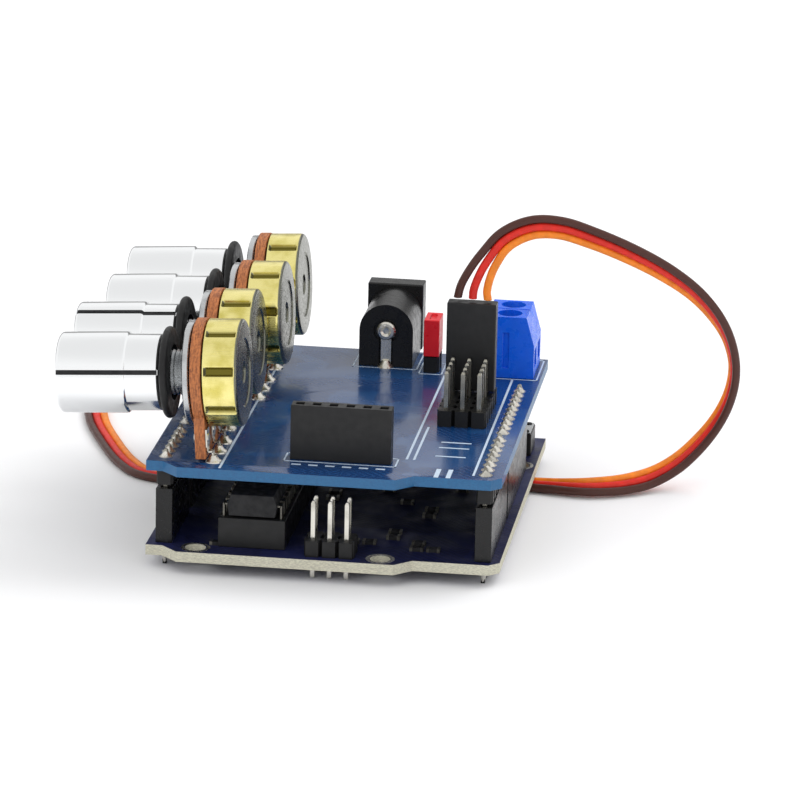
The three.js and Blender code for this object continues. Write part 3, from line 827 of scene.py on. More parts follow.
class Growth(Wiring):
    """A geometry node tree under construction, with named inputs for its sizes."""

    def __init__(self, name: str) -> None:
        """Start a tree that takes in the host's points and a finish.

        Args:
            name: what the tree is called.
        """
        super().__init__(bpy.data.node_groups.new(name, "GeometryNodeTree"))
        self.tree.interface.new_socket("Geometry", in_out="OUTPUT", socket_type="NodeSocketGeometry")
        self.keys: dict[str, str] = {}
        for label, kind in (("Places", "NodeSocketGeometry"), ("Finish", "NodeSocketMaterial")):
            self.ask(label, kind)
        self.group = self.tree.nodes.new("NodeGroupInput")

    def ask(self, label: str, kind: str = "NodeSocketFloat") -> None:
        """Add a named input."""
        socket = self.tree.interface.new_socket(label, in_out="INPUT", socket_type=kind)
        self.keys[label] = socket.identifier

    def given(self, label: str) -> Socket:
        """The output that carries a named input."""
        return next(s for s in self.group.outputs if s.identifier == self.keys[label])

    def add(self, kind: str, settings: dict[str, object] | None = None,
            **inputs: object) -> bpy.types.Node:
        """Add a node.

        Args:
            kind: the node's type.
            settings: its own settings.
            inputs: its inputs by name, with underscores for spaces, as numbers or outputs.

        Returns:
            The node.
        """
        node = self.tree.nodes.new(kind)
        for key, value in (settings or {}).items():
            setattr(node, key, value)
        for key, value in inputs.items():
            self.feed(node.inputs[key.replace("_", " ")], value)
        return node

    def vector(self, x: object = 0.0, y: object = 0.0, z: object = 0.0) -> Socket:
        """Three numbers or outputs as one vector."""
        return self.add("ShaderNodeCombineXYZ", X=x, Y=y, Z=z).outputs[0]

    def lifted(self, geometry: object, height: object) -> Socket:
        """Geometry moved up."""
        return self.add("GeometryNodeTransform", Geometry=geometry,
                        Translation=self.vector(z=height)).outputs[0]

    def joined(self, *parts: Socket) -> Socket:
        """Several geometries as one.

        Args:
            parts: the geometries.

        Returns:
            The output.
        """
        node = self.tree.nodes.new("GeometryNodeJoinGeometry")
        for part in parts:
            self.tree.links.new(part, node.inputs[0])
        return node.outputs[0]

    def on_places(self, unit: Socket) -> "Growth":
        """End the tree with one copy of the unit on each of the host's points."""
        copies = self.add("GeometryNodeInstanceOnPoints", Points=self.given("Places"), Instance=unit)
        return self.ended(copies.outputs[0])

    def ended(self, geometry: Socket) -> "Growth":
        """End the tree: real copies, in the finish that was asked for.

        Args:
            geometry: what the tree has made.

        Returns:
            The finished tree.
        """
        real = self.add("GeometryNodeRealizeInstances", Geometry=geometry)
        finish = self.add("GeometryNodeSetMaterial", Geometry=real.outputs[0],
                          Material=self.given("Finish"))
        out = self.tree.nodes.new("NodeGroupOutput")
        self.tree.links.new(finish.outputs[0], out.inputs[0])
        return self

    def grown(self, name: str, host: bpy.types.Mesh, finish: Finish,
              **sizes: float) -> bpy.types.Object:
        """Run the tree on a host mesh.

        Args:
            name: the new piece's name.
            host: the mesh that the tree works on.
            finish: what it is finished in.
            sizes: the tree's named inputs, with underscores for spaces.

        Returns:
            The piece, as a plain mesh.
        """
        piece = bpy.data.objects.new(name, host)
        bpy.context.scene.collection.objects.link(piece)
        nodes = piece.modifiers.new("growth", "NODES")
        nodes.node_group = self.tree
        nodes[self.keys["Finish"]] = finish.material
        for label, value in sizes.items():
            nodes[self.keys[label.replace("_", " ")]] = value
        settled(piece)
        smoothed(piece.data)
        return piece


def places(points: Iterable[Sequence[float]]) -> bpy.types.Mesh:
    """A mesh of bare points.

    Args:
        points: the points.

    Returns:
        The mesh.
    """
    data = bpy.data.meshes.new("places")
    data.from_pydata([tuple(p) for p in points], [], [])
    return data


def pin_growth() -> Growth:
    """Square pins with drawn-in tips, standing on each point."""
    growth = Growth("square pins")
    for label in ("Side", "Length", "Tip"):
        growth.ask(label)
    side, length, tip = (growth.given(s) for s in ("Side", "Length", "Tip"))
    shank = growth.sum("SUBTRACT", length, tip)
    cube = growth.add("GeometryNodeMeshCube", Size=growth.vector(side, side, shank))
    point = growth.add("GeometryNodeMeshCone", Vertices=4, Depth=tip,
                       Radius_Bottom=growth.sum("MULTIPLY", side, math.sqrt(0.5)),
                       Radius_Top=growth.sum("MULTIPLY", side, 0.36))
    turned = growth.add("GeometryNodeTransform", Geometry=point.outputs[0],
                        Rotation=(0.0, 0.0, math.radians(45)))
    body = growth.lifted(cube.outputs[0], growth.sum("MULTIPLY", shank, 0.5))
    return growth.on_places(growth.joined(body, growth.lifted(turned.outputs[0], shank)))


def solder_growth() -> Growth:
    """A solder joint on each point: a pad, and a fillet that climbs to the pin."""
    growth = Growth("solder joints")
    for label in ("Pad", "Height"):
        growth.ask(label)
    pad, height = growth.given("Pad"), growth.given("Height")
    disc = growth.add("GeometryNodeMeshCylinder", Vertices=20, Radius=pad, Depth=0.05 * MM)
    steps = [growth.lifted(disc.outputs[0], 0.025 * MM)]
    levels = ((1.0, 0.78, 0.0, 0.22), (0.78, 0.52, 0.22, 0.55), (0.52, 0.3, 0.55, 1.0))
    for wide, narrow, low, high in levels:
        ring = growth.add("GeometryNodeMeshCone", Vertices=20,
                          Radius_Bottom=growth.sum("MULTIPLY", pad, wide * 0.9),
                          Radius_Top=growth.sum("MULTIPLY", pad, narrow * 0.9),
                          Depth=growth.sum("MULTIPLY", height, high - low))
        steps.append(growth.lifted(ring.outputs[0], growth.sum("MULTIPLY", height, low)))
    return growth.on_places(growth.joined(*steps))


def cell_growth() -> Growth:
    """The moulding of a pin strip: one chamfered cell round each pin."""
    growth = Growth("strip cells")
    for label in ("Width", "Height"):
        growth.ask(label)
    width, height = growth.given("Width"), growth.given("Height")
    # An eight-sided prism, turned so that it has flats on the strip's sides.
    cell = growth.add("GeometryNodeMeshCylinder", Vertices=8, Depth=height,
                      Radius=growth.sum("MULTIPLY", width, 0.5 / math.cos(math.pi / 8)))
    turned = growth.add("GeometryNodeTransform", Geometry=cell.outputs[0],
                        Rotation=(0.0, 0.0, math.pi / 8))
    half = growth.sum("MULTIPLY", height, 0.5)
    core = growth.add("GeometryNodeMeshCube", Size=growth.vector(
        growth.sum("MULTIPLY", width, 0.78), PITCH, growth.sum("MULTIPLY", height, 0.98)))
    return growth.on_places(growth.joined(growth.lifted(turned.outputs[0], half),
                                          growth.lifted(core.outputs[0], half)))


def crimp_growth() -> Growth:
    """A round can about the local X axis, dented at even steps round its rim; the dents are stored for
    painted shade.
    """
    growth = Growth("crimped can")
    for label in ("Count", "Turn", "Depth", "Half width", "Start", "End"):
        growth.ask(label)
    x, y, z = growth.axes(growth.add("GeometryNodeInputPosition").outputs[0])
    radius = growth.sum("SQRT", growth.sum("ADD", growth.sum("MULTIPLY", y, y),
                                           growth.sum("MULTIPLY", z, z)))
    step = growth.sum("DIVIDE", 2 * math.pi, growth.given("Count"))
    angle = growth.sum("ADD", growth.sum("SUBTRACT", growth.sum("ARCTAN2", z, y),
                                         growth.given("Turn")), 4 * math.pi)
    near = growth.sum("ABSOLUTE", growth.sum("SUBTRACT", growth.sum(
        "MODULO", growth.sum("ADD", angle, growth.sum("MULTIPLY", step, 0.5)), step),
        growth.sum("MULTIPLY", step, 0.5)))
    across = growth.sum("MULTIPLY", near, radius)
    half = growth.given("Half width")
    round_it = growth.spread(across, growth.sum("MULTIPLY", half, 0.55), half, 1.0, 0.0)
    begin, end = growth.given("Start"), growth.given("End")
    soft = 0.35 * MM  # how far the press marks fade at their ends
    after = growth.spread(x, begin, growth.sum("ADD", begin, soft), 0.0, 1.0)
    before = growth.spread(x, growth.sum("SUBTRACT", end, soft), end, 1.0, 0.0)
    # How far each point lies in a dent: it moves the point in, and is stored as the mask for painted
    # shade.
    pressed_painted_shade = growth.sum("MULTIPLY", round_it, growth.sum("MULTIPLY", after, before))
    inward = growth.sum("MULTIPLY", pressed_painted_shade, growth.given("Depth"))
    share = growth.sum("DIVIDE", inward, growth.sum("MAXIMUM", radius, 1e-5))
    shift = growth.vector(0.0, growth.sum("MULTIPLY", growth.sum("MULTIPLY", y, share), -1.0),
                          growth.sum("MULTIPLY", growth.sum("MULTIPLY", z, share), -1.0))
    dents_with_painted_shade = growth.add("GeometryNodeStoreNamedAttribute", {"data_type": "FLOAT", "domain": "POINT"},
                        Geometry=growth.given("Places"), Name="pressed_painted_shade", Value=pressed_painted_shade)
    moved = growth.add("GeometryNodeSetPosition", Geometry=dents_with_painted_shade.outputs[0], Offset=shift)
    return growth.ended(moved.outputs[0])


def chip_growth() -> Growth:
    """Small square parts that lie on each point."""
    growth = Growth("chip parts")
    for label in ("Length", "Width", "Height"):
        growth.ask(label)
    size = growth.vector(*(growth.given(s) for s in ("Length", "Width", "Height")))
    cube = growth.add("GeometryNodeMeshCube", Size=size)
    return growth.on_places(growth.lifted(
        cube.outputs[0], growth.sum("MULTIPLY", growth.given("Height"), 0.5)))


class Growths:
    """The geometry node trees that the parts share."""

    def __init__(self) -> None:
        """Build every tree once."""
        self.pins = pin_growth()
        self.solder = solder_growth()
        self.cells = cell_growth()
        self.crimps = crimp_growth()
        self.chips = chip_growth()


# ---- the parts ----


@dataclass
class PinGrid:
    """Square pins at the standard pitch.

    Attributes:
        x: the first column.
        y: the first row.
        columns: how many pins stand across.
        rows: how many stand along.
    """

    x: float
    y: float
    columns: int
    rows: int

    def at(self, height: float) -> list[Point]:
        """The pins' places at a height."""
        return [(self.x + i * PITCH, self.y + j * PITCH, height)
                for j in range(self.rows) for i in range(self.columns)]

    @classmethod
    def in_node(cls, node: str, columns: int, rows: int) -> "PinGrid":
        """The grid in the middle of a CAD node's box.

        Args:
            node: the node's name.
            columns: how many pins stand across.
            rows: how many stand along.

        Returns:
            The grid.
        """
        middle = sum(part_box(node), Vector()) / 2
        return cls(middle.x - (columns - 1) * PITCH / 2, middle.y - (rows - 1) * PITCH / 2,
                   columns, rows)

    def moulding(self, growths: Growths, name: str, node: str, level: float,
                 width: float = 2.5 * MM, height: float = PITCH) -> None:
        """Grow and dress the moulding round the pins.

        Args:
            growths: the trees.
            name: the new piece's name.
            node: the CAD node that it stands for.
            level: the height that it stands at.
            width: how wide the strip is.
            height: how tall it is.
        """
        cells = growths.cells.grown(name, places(self.at(level)), Finish.STRIP_BLACK,
                                    Width=width, Height=height)
        dressed(cells, Finish.STRIP_BLACK, BODY, node)

    def posts(self, growths: Growths, name: str, level: float, length: float,
              tip: float = 0.3 * MM, finish: Finish = Finish.PIN_METAL_PAINTED_SHADE) -> None:
        """Grow and dress the pins.

        Args:
            growths: the trees.
            name: the new piece's name.
            level: the height that they stand at.
            length: how long they are.
            tip: how long their drawn-in tips are.
            finish: what they are finished in.
        """
        pins = growths.pins.grown(name, places(self.at(level)), finish,
                                  Side=PIN, Length=length, Tip=tip)
        dressed(pins, finish, BODY)


@dataclass
class Boards:
    """The two circuit boards, with their print, pads, holes and small parts.

    Attributes:
        controller: the lower board's node.
        shield: the upper board's node.
        ease: how far the boards' edges are eased.
        print_thick: how thick the print lies.
        rules: the long printed lines as x, start and end, in millimetres from the corner.
        outlines: the printed boxes as x, y, width and depth, in millimetres.
        strip_x: the front strip's first way, in millimetres.
        holes: the mounting holes, in millimetres.
        chips: the small parts, in millimetres.
    """

    controller: str = "controller_board"
    shield: str = "shield_board"
    ease: float = 0.08 * MM
    print_thick: float = 0.03 * MM
    rules: tuple[Point, ...] = (
        (11.4, 0.9, 67.6), (38.2, 10.8, 56), (39.3, 10.8, 27.6), (49, 4.6, 56))
    outlines: tuple[tuple[float, ...], ...] = (
        (20.2, 6.4, 16.8, 4.1), (44, 56.2, 8.8, 11.4), (23.2, 58.4, 10.2, 9.6), (34, 56.4, 3.6, 6.5))
    strip_x: float = 22.3
    holes: tuple[Pair, ...] = ((2.54, 54.61), (50.8, 53.34), (7.62, 2.54), (35.56, 2.54))
    chips: tuple[Pair, ...] = (
        (10.5, 4.6), (12.8, 4.6), (15.1, 4.6), (40.4, 7.6), (40.4, 10.2), (42.9, 7.6),
        (36.2, 12.4), (36.2, 15), (30.4, 9.5), (33, 9.5), (40.2, 24), (40.2, 27), (36, 30),
        (32.4, 36), (32.4, 39), (38, 42), (43.6, 38), (43.6, 41), (24.4, 30), (24.4, 33))

    def build(self, growths: Growths) -> None:
        """Build and dress the boards.

        Args:
            growths: the trees that the parts share.
        """
        dressed(refined(self.controller, self.ease), Finish.CONTROLLER, BODY, self.controller)
        dressed(refined(self.shield, self.ease), Finish.SHIELD, BODY, self.shield)
        self.shield_print()
        self.mounting_rings()
        self.small_parts(growths)

    def line(self, solid: Solid, start: Pair, end: Pair, width: float = 0.35) -> None:
        """Add a printed line to a solid.

        Args:
            solid: the print.
            start: where the line starts, in millimetres from the shield's corner.
            end: where it ends.
            width: how wide it is, in millimetres.
        """
        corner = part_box(self.shield)[0]
        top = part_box(self.shield)[1].z
        (x0, y0), (x1, y1) = start, end
        half = width / 2
        solid.block((corner.x + (min(x0, x1) - half) * MM, corner.y + (min(y0, y1) - half) * MM, top),
                    (corner.x + (max(x0, x1) + half) * MM, corner.y + (max(y0, y1) + half) * MM,
                     top + self.print_thick))

    def shield_print(self) -> None:
        """The white print on the shield: long rules, outlines and short dashes."""
        ink = Solid()
        for x, y0, y1 in self.rules:
            self.line(ink, (x, y0), (x, y1))
        for x, y, width, depth in self.outlines:
            for start, end in (((x, y), (x + width, y)), ((x, y + depth), (x + width, y + depth)),
                               ((x, y), (x, y + depth)), ((x + width, y), (x + width, y + depth))):
                self.line(ink, start, end, 0.25)
        for column in range(6):  # short dashes before and behind the front strip
            x = self.strip_x + column * PITCH / MM
            self.line(ink, (x - 0.45, 4.9), (x + 0.45, 4.9), 0.5)
            self.line(ink, (x - 0.45, 12.2), (x + 0.45, 12.2), 0.7)
        for x in (43.6, 45.4):
            self.line(ink, (x, 2.9), (x, 6.4), 0.7)
        for y in (13.2, 17.6, 20.4):
            self.line(ink, (42.4, y), (46.6, y), 0.4)
        dressed(ink.finished("shield_print"), Finish.PRINT, BODY)

    def mounting_rings(self) -> None:
        """The tinned ring round each of the controller board's mounting holes."""
        corner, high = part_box(self.controller)
        rings = Solid()
        profile = in_mm((1.6, -1.55), (1.7, 0.04), (2.2, 0.04), (2.2, -0.02), (1.75, -0.02),
                        (1.7, -1.55), (1.6, -1.55))
        for x, y in self.holes:
            middle = Matrix.Translation((corner.x + x * MM, corner.y + y * MM, high.z))
            rings.turned(profile, 40, middle)
        dressed(rings.finished("mounting_rings"), Finish.SOLDER, BODY)

    def small_parts(self, growths: Growths) -> None:
        """Chip resistors and capacitors on the controller board, each with two bright ends.

        Args:
            growths: the trees that the parts share.
        """
        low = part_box(self.controller)[0]
        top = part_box(self.controller)[1].z
        marks = places((low.x + x * MM, low.y + y * MM, top) for x, y in self.chips)
        dressed(growths.chips.grown("chip_parts", marks, Finish.CHIP, Length=1.25 * MM,
                                    Width=1.2 * MM, Height=0.55 * MM), Finish.CHIP, BODY)
        ends = places((low.x + (x + side * 0.82) * MM, low.y + y * MM, top)
                      for x, y in self.chips for side in (-1, 1))
        dressed(growths.chips.grown("chip_part_ends", ends, Finish.DULL_TIN, Length=0.42 * MM,
                                    Width=1.26 * MM, Height=0.6 * MM), Finish.DULL_TIN, BODY)


@dataclass
class JoiningRows:
    """The four rows that join the boards: socket strips below, pin strips above.

    Attributes:
        rows: each row's name, and how many pins it has.
        reach: how far the pins go down from the shield.
        length: how long the pins are.
        leg: the profile of a soldered leg under the controller board, in millimetres.
    """

    rows: tuple[tuple[str, int], ...] = (
        ("analog", 6), ("power", 8), ("digital_front", 8), ("digital_back", 10))
    reach: float = 8.4 * MM
    length: float = 11.2 * MM
    leg: tuple[Pair, ...] = (
        (0, 0), (1.0, 0), (0.8, -0.25), (0.5, -0.8), (0.38, -1.5), (0.3, -1.9), (0, -1.96))

    def build(self, growths: Growths) -> None:
        """Build and dress each row."""
        shield_low, shield_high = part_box("shield_board")
        for row, count in self.rows:
            dressed(refined(f"{row}_header", 0.14 * MM), Finish.BLACK, BODY, f"{row}_header")
            grid = PinGrid.in_node(f"{row}_pins", 1, count)
            grid.moulding(growths, f"{row}_strip", f"{row}_pins", shield_low.z - PITCH)
            grid.posts(growths, f"{row}_strip_pins", shield_low.z - self.reach, self.length)
            joints = growths.solder.grown(f"{row}_joints", places(grid.at(shield_high.z)),
                                          Finish.SOLDER, Pad=1.05 * MM, Height=0.95 * MM)
            dressed(joints, Finish.SOLDER, BODY)
            board_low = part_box("controller_board")[0].z
            legs = Solid()
            for x, y, _ in grid.at(0):
                at = Matrix.Translation((x, y, board_low))
                legs.turned(in_mm(*self.leg), 16, at)
            dressed(legs.finished(f"{row}_legs"), Finish.SOLDER, BODY)


@dataclass
class ControllerParts:
    """What stands on the controller board, mostly hidden by the shield.

    Attributes:
        plain: the parts that need only eased edges: node, finish, and the easing in millimetres.
        foot: the profile of a capacitor's foot, in millimetres.
        can: the profile of its can.
        rivet: the profile of one of the reset switch's rivets.
        wide: how wide a chip's leg is.
        thin: how thick it is.
    """

    plain: tuple[tuple[str, Finish, float], ...] = (
        ("usb_socket", Finish.STEEL, 0.35), ("usb_tongue", Finish.WHITE, 0.15),
        ("power_jack", Finish.BLACK, 0.25), ("power_jack_pin", Finish.PIN_METAL, 0.3),
        ("chip_socket", Finish.SATIN_BLACK, 0.15), ("controller_chip", Finish.CHIP, 0.15),
        ("clock_crystal", Finish.CAN, 0.4), ("reset_switch", Finish.SATIN_BLACK, 0.2))
    foot: tuple[Pair, ...] = ((0, 0), (3.3, 0), (3.3, 0.8), (3, 0.95), (0, 0.95))
    can: tuple[Pair, ...] = (
        (0, 0.9), (3.05, 0.9), (3.1, 1.1), (2.85, 1.4), (3.1, 1.7), (3.1, 4.9), (2.95, 5.2),
        (2.7, 5.3), (2.6, 5.22), (0, 5.22))
    rivet: tuple[Pair, ...] = ((0, 0), (0.5, 0), (0.45, 0.15), (0.2, 0.25), (0, 0.26))
    wide: float = 1.4 * MM
    thin: float = 0.24 * MM

    def build(self, growths: Growths) -> None:
        """Build and dress each part.

        Args:
            growths: the trees that the parts share.
        """
        for node, finish, ease in self.plain:
            dressed(refined(node, ease * MM), finish, BODY, node)
        dressed(refined("reset_button", 0.25 * MM), Finish.BLACK, "reset_button", "reset_button")
        self.capacitors()
        self.reset_plate()
        self.usb_details()
        self.chip_legs()
        self.programming_pins(growths)

    def capacitors(self) -> None:
        """The two drawn cans, each on a black foot and grooved low down."""
        for node in ("capacitor_1", "capacitor_2"):
            low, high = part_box(node)
            middle = (low + high) / 2
            foot = Solid(Matrix.Translation((middle.x, middle.y, low.z)))
            foot.turned(in_mm(*self.foot))
            dressed(eased(foot.finished(f"{node}_foot"), 0.1 * MM), Finish.SATIN_BLACK, BODY)
            can = Solid(Matrix.Translation((middle.x, middle.y, low.z)))
            can.turned(in_mm(*self.can))
            dressed(can.finished(f"{node}_can"), Finish.CAN, BODY, node)

    def reset_plate(self) -> None:
        """The bright plate over the reset switch, with its four crimped corners."""
        low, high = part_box("reset_switch")
        middle = (low + high) / 2
        plate = Solid(Matrix.Translation((middle.x, middle.y, high.z)))
        half = (high.x - low.x) / 2 - 0.15 * MM
        plate.block((-half, -half, 0), (half, half, 0.2 * MM))
        cover = plate.finished("reset_plate")
        hole = Solid(Matrix.Translation((middle.x, middle.y, high.z)))
        hole.turned([(0, -MM), (1.85 * MM, -MM), (1.85 * MM, MM), (0, MM)], 32)
        carved(cover, hole.finished("reset_plate_hole"))
        dressed(eased(cover, 0.06 * MM), Finish.STEEL, BODY)
        rivets = Solid(Matrix.Translation((middle.x, middle.y, high.z + 0.2 * MM)))
        inset = half - 0.75 * MM
        for x in (-inset, inset):
            for y in (-inset, inset):
                rivets.turned(in_mm(*self.rivet), 16, Matrix.Translation((x, y, 0)))
        dressed(rivets.finished("reset_rivets"), Finish.SATIN_BLACK, BODY)

    def usb_details(self) -> None:
        """The spring slots in the socket's shell, and the contacts on its tongue."""
        low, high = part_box("usb_socket")
        springs = Solid()
        for x in (low.x + 3.4 * MM, high.x - 3.4 * MM):
            springs.block((x - 0.9 * MM, high.y - 7 * MM, high.z - 0.1 * MM),
                          (x + 0.9 * MM, high.y - 1.6 * MM, high.z + 0.08 * MM))
        dressed(eased(springs.finished("usb_springs"), 0.08 * MM), Finish.STEEL, BODY)
        tongue_low, tongue_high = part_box("usb_tongue")
        contacts = Solid()
        width = (tongue_high.x - tongue_low.x) / 5
        for i in range(4):
            x = tongue_low.x + (i % 2 + 1) * width * 5 / 3
            z, out = (tongue_low.z, -1) if i < 2 else (tongue_high.z, 1)
            contacts.block((x - 0.4 * MM, tongue_low.y + MM, min(z, z + out * 0.12 * MM)),
                           (x + 0.4 * MM, tongue_high.y - 0.4 * MM, max(z, z + out * 0.12 * MM)))
        dressed(contacts.finished("usb_contacts"), Finish.GOLD, BODY)

    def chip_legs(self) -> None:
        """The long chip's two rows of legs, which step out and down into the socket."""
        low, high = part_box("controller_chip")
        middle = (low + high) / 2
        legs = Solid()
        for i in range(14):
            y = middle.y + (i - 6.5) * PITCH
            for side in (-1, 1):
                edge = middle.x + side * (high.x - low.x) / 2
                knee = edge + side * 0.55 * MM
                root = edge - side * 0.3 * MM
                legs.block((min(root, knee), y - self.wide / 2, middle.z - self.thin / 2),
                           (max(root, knee), y + self.wide / 2, middle.z + self.thin / 2))
                legs.block((knee - 0.13 * MM, y - self.wide / 2, low.z - 0.25 * MM),
                           (knee + 0.13 * MM, y + self.wide / 2, middle.z + self.thin / 2))
        dressed(legs.finished("chip_legs"), Finish.DULL_TIN, BODY)

    def programming_pins(self, growths: Growths) -> None:
        """The six programming pins at the front edge.

        Args:
            growths: the trees that the parts share.
        """
        grid = PinGrid.in_node("programming_header", 3, 2)
        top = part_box("controller_board")[1].z
        grid.moulding(growths, "programming_strip", "programming_header", top)
        grid.posts(growths, "programming_pins", 0.2 * MM, top + 8.3 * MM, 0.35 * MM,
                   Finish.PIN_METAL)


@dataclass
class Potentiometer:
    """One potentiometer with its knob; local X runs back along the shaft, Z up the wafer.

    Attributes:
        number: which of the four it is, from the front.
        body_r: the can's radius.
        can_start: where the can starts, behind the wafer's back.
        can_end: where it ends.
        crimps: how many crimps it has.
        crimp_turn: how far they are turned, in degrees.
        wafer: how thick the wafer is.
        wafer_r: the radius of its round top.
        wafer_half: half the width of its foot.
        terminals_y: where its three terminals stand across.
        terminal: one terminal's blocks in millimetres: half width, front, back, foot and top.
        rivet: the profile of a terminal's rivet, in millimetres.
        joint: the profile of its solder joint.
        bore_r: the radius of the bush's bore.
        plate_r: the front plate's radius.
        shaft_r: the shaft's radius.
        cap_r: the cap's radius behind its step.
        front_r: the cap's radius in front of its step.
        skirt_r: the skirt's radius.
        skirt_back: where the skirt starts.
        front: where the knob's front is.
        step: where the cap gets wider.
        wall: how thick the cap is.
        play: the gap between the cap and the core.
        rim: how far the edges of the cap's front are rounded.
        groove: half the width of the pointer's groove.
    """

    number: int
    body_r: float = 8.1 * MM
    can_start: float = 0.3 * MM
    can_end: float = 5.4 * MM
    crimps: float = 8.0
    crimp_turn: float = -16
    wafer: float = 1.6 * MM
    wafer_r: float = 8.2 * MM
    wafer_half: float = 6.2 * MM
    terminals_y: Point = (-5 * MM, 0.0, 5 * MM)
    terminal: tuple[tuple[float, ...], ...] = (
        (1.1, 0.02, 0.3, 2.4, 5.2), (0.45, 0.02, 0.3, 1.4, 2.6),
        (0.45, 0.02, 1.05, 1.4, 1.7), (0.45, 0.75, 1.05, -1.2, 1.7))
    rivet: tuple[Pair, ...] = (
        (0, -0.05), (0.75, -0.05), (0.72, 0.12), (0.45, 0.24), (0.25, 0.12), (0, 0.1))
    joint: tuple[Pair, ...] = (
        (0, -0.1), (1.25, -0.1), (1.2, 0.1), (0.8, 0.45), (0.55, 1.0), (0, 1.05))
    bore_r: float = 3.1 * MM
    plate_r: float = 7.8 * MM
    shaft_r: float = 2.95 * MM
    cap_r: float = 5.75 * MM
    front_r: float = 6.1 * MM
    skirt_r: float = 6.9 * MM
    skirt_back: float = -5.3 * MM
    front: float = -22.5 * MM
    step: float = -11.9 * MM
    wall: float = 0.8 * MM
    play: float = 0.3 * MM
    rim: float = 0.7 * MM
    groove: float = 0.4 * MM

    def __post_init__(self) -> None:
        """Find the shaft's line and the pointer's angle in the frame's joint."""
        joint = next(j for j in frame["joints"] if j["name"] == f"knob_{self.number}_turn")
        along = -Vector(joint["axis"]).normalized()
        side = Vector((0, 1, 0))
        axes = Matrix((along, side, along.cross(side))).transposed().to_4x4()
        self.fixed = Matrix.Translation(joint["pos_m"]) @ axes
        pointer = -sum(joint["range_deg"]) / 2
        self.turning = self.fixed @ Matrix.Rotation(math.radians(-pointer), 4, "X")
        # Turned pieces are drawn about local Z, so this lays that axis along X.
        self.lathe = Matrix.Rotation(math.radians(90), 4, "Y")

    @property
    def body(self) -> str:
        """The body that turns."""
        return f"knob_{self.number}"

    def build(self, growths: Growths) -> None:
        """Build and dress the whole potentiometer.

        Args:
            growths: the trees that the parts share.
        """
        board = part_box("shield_board")[1].z
        foot = -(self.fixed.translation.z - board) / self.fixed.to_3x3().col[2].z
        self.wafer_plate(foot)
        self.terminals(foot)
        self.rivets(foot)
        self.can(growths)
        self.bush()
        self.shaft()
        self.knob_core()
        self.knob_cap()
        self.pointer()

    def wafer_plate(self, foot: float) -> None:
        """The resin-paper wafer, round above its straight foot.

        Args:
            foot: where the shield's top is, along the wafer.
        """
        node = f"pot_{self.number}_wafer"
        spread = math.degrees(math.acos(self.wafer_half / self.wafer_r))
        outline = arc((0, 0), self.wafer_r, 180 + spread, -spread, 60)
        outline += [(self.wafer_half, foot + 0.6 * MM), (-self.wafer_half, foot + 0.6 * MM)]
        plate = Solid(self.fixed).prism(outline, -self.wafer, 0.0, OUT_ALONG_X)
        piece = plate.finished(f"{node}_plate")
        bore = Solid(self.fixed).turned(in_mm((0, -3), (3.4, -3), (3.4, 3), (0, 3)), 48, self.lathe)
        carved(piece, bore.finished("wafer_bore"))
        dressed(eased(piece, 0.1 * MM), Finish.BROWN, BODY, node)

    def terminals(self, foot: float) -> None:
        """The three tags on the wafer's back, which step back and down into the board.

        Args:
            foot: where the shield's top is, along the wafer.
        """
        tags = Solid(self.fixed)
        for y in self.terminals_y:
            for half, near, far, low, high in self.terminal:
                tags.block((near * MM, y - half * MM, foot + low * MM),
                           (far * MM, y + half * MM, foot + high * MM))
        dressed(eased(tags.finished(f"pot_{self.number}_tags"), 0.06 * MM), Finish.PIN_METAL, BODY)

    def rivets(self, foot: float) -> None:
        """The rivet through each terminal, and its solder joint on the board.

        Args:
            foot: where the shield's top is, along the wafer.
        """
        rivets = Solid(self.fixed)
        for y in self.terminals_y:
            for start, way_out in ((0.28 * MM, 1), (-self.wafer - 0.02 * MM, -1)):
                spin = Matrix.Rotation(math.radians(90 * way_out), 4, "Y")
                place = Matrix.Translation((start, y, foot + 3.7 * MM))
                rivets.turned(in_mm(*self.rivet), 20, place @ spin)
            rivets.turned(in_mm(*self.joint), 24, Matrix.Translation((0.9 * MM, y, foot)))
        dressed(rivets.finished(f"pot_{self.number}_rivets"), Finish.SOLDER, BODY)

    def can(self, growths: Growths) -> None:
        """The drawn can, with a round closed end and crimps round its side.

        Args:
            growths: the trees that the parts share.
        """
        radius, start, end = self.body_r, self.can_start, self.can_end
        steps = 26  # rings along the side, for the crimps to press in
        curl = 0.6 * MM
        side = [(radius, start + (end - 0.7 * MM - start) * i / steps) for i in range(steps + 1)]
        corner = arc((radius - curl, end - curl), curl, 15, 90, 5)
        face = [(5.2 * MM, end), (5.0 * MM, end - 0.18 * MM), (1.7 * MM, end - 0.18 * MM),
                (1.5 * MM, end - 0.4 * MM), (0, end - 0.4 * MM)]
        inner = [(0, end - 0.9 * MM), (radius - curl, end - 0.9 * MM), (radius - 0.5 * MM, start)]
        profile = inner + side + corner + face
        host = Solid().turned(profile, 360, self.lathe).as_mesh("can_host")
        can = growths.crimps.grown(
            f"pot_{self.number}_shell", host, Finish.YELLOW, Count=self.crimps,
            Turn=math.radians(self.crimp_turn), Depth=0.5 * MM, Half_width=0.8 * MM,
            Start=start + 0.15 * MM, End=end - 0.35 * MM)
        can.data.transform(self.fixed)
        dressed(can, Finish.YELLOW, BODY, f"pot_{self.number}_can")

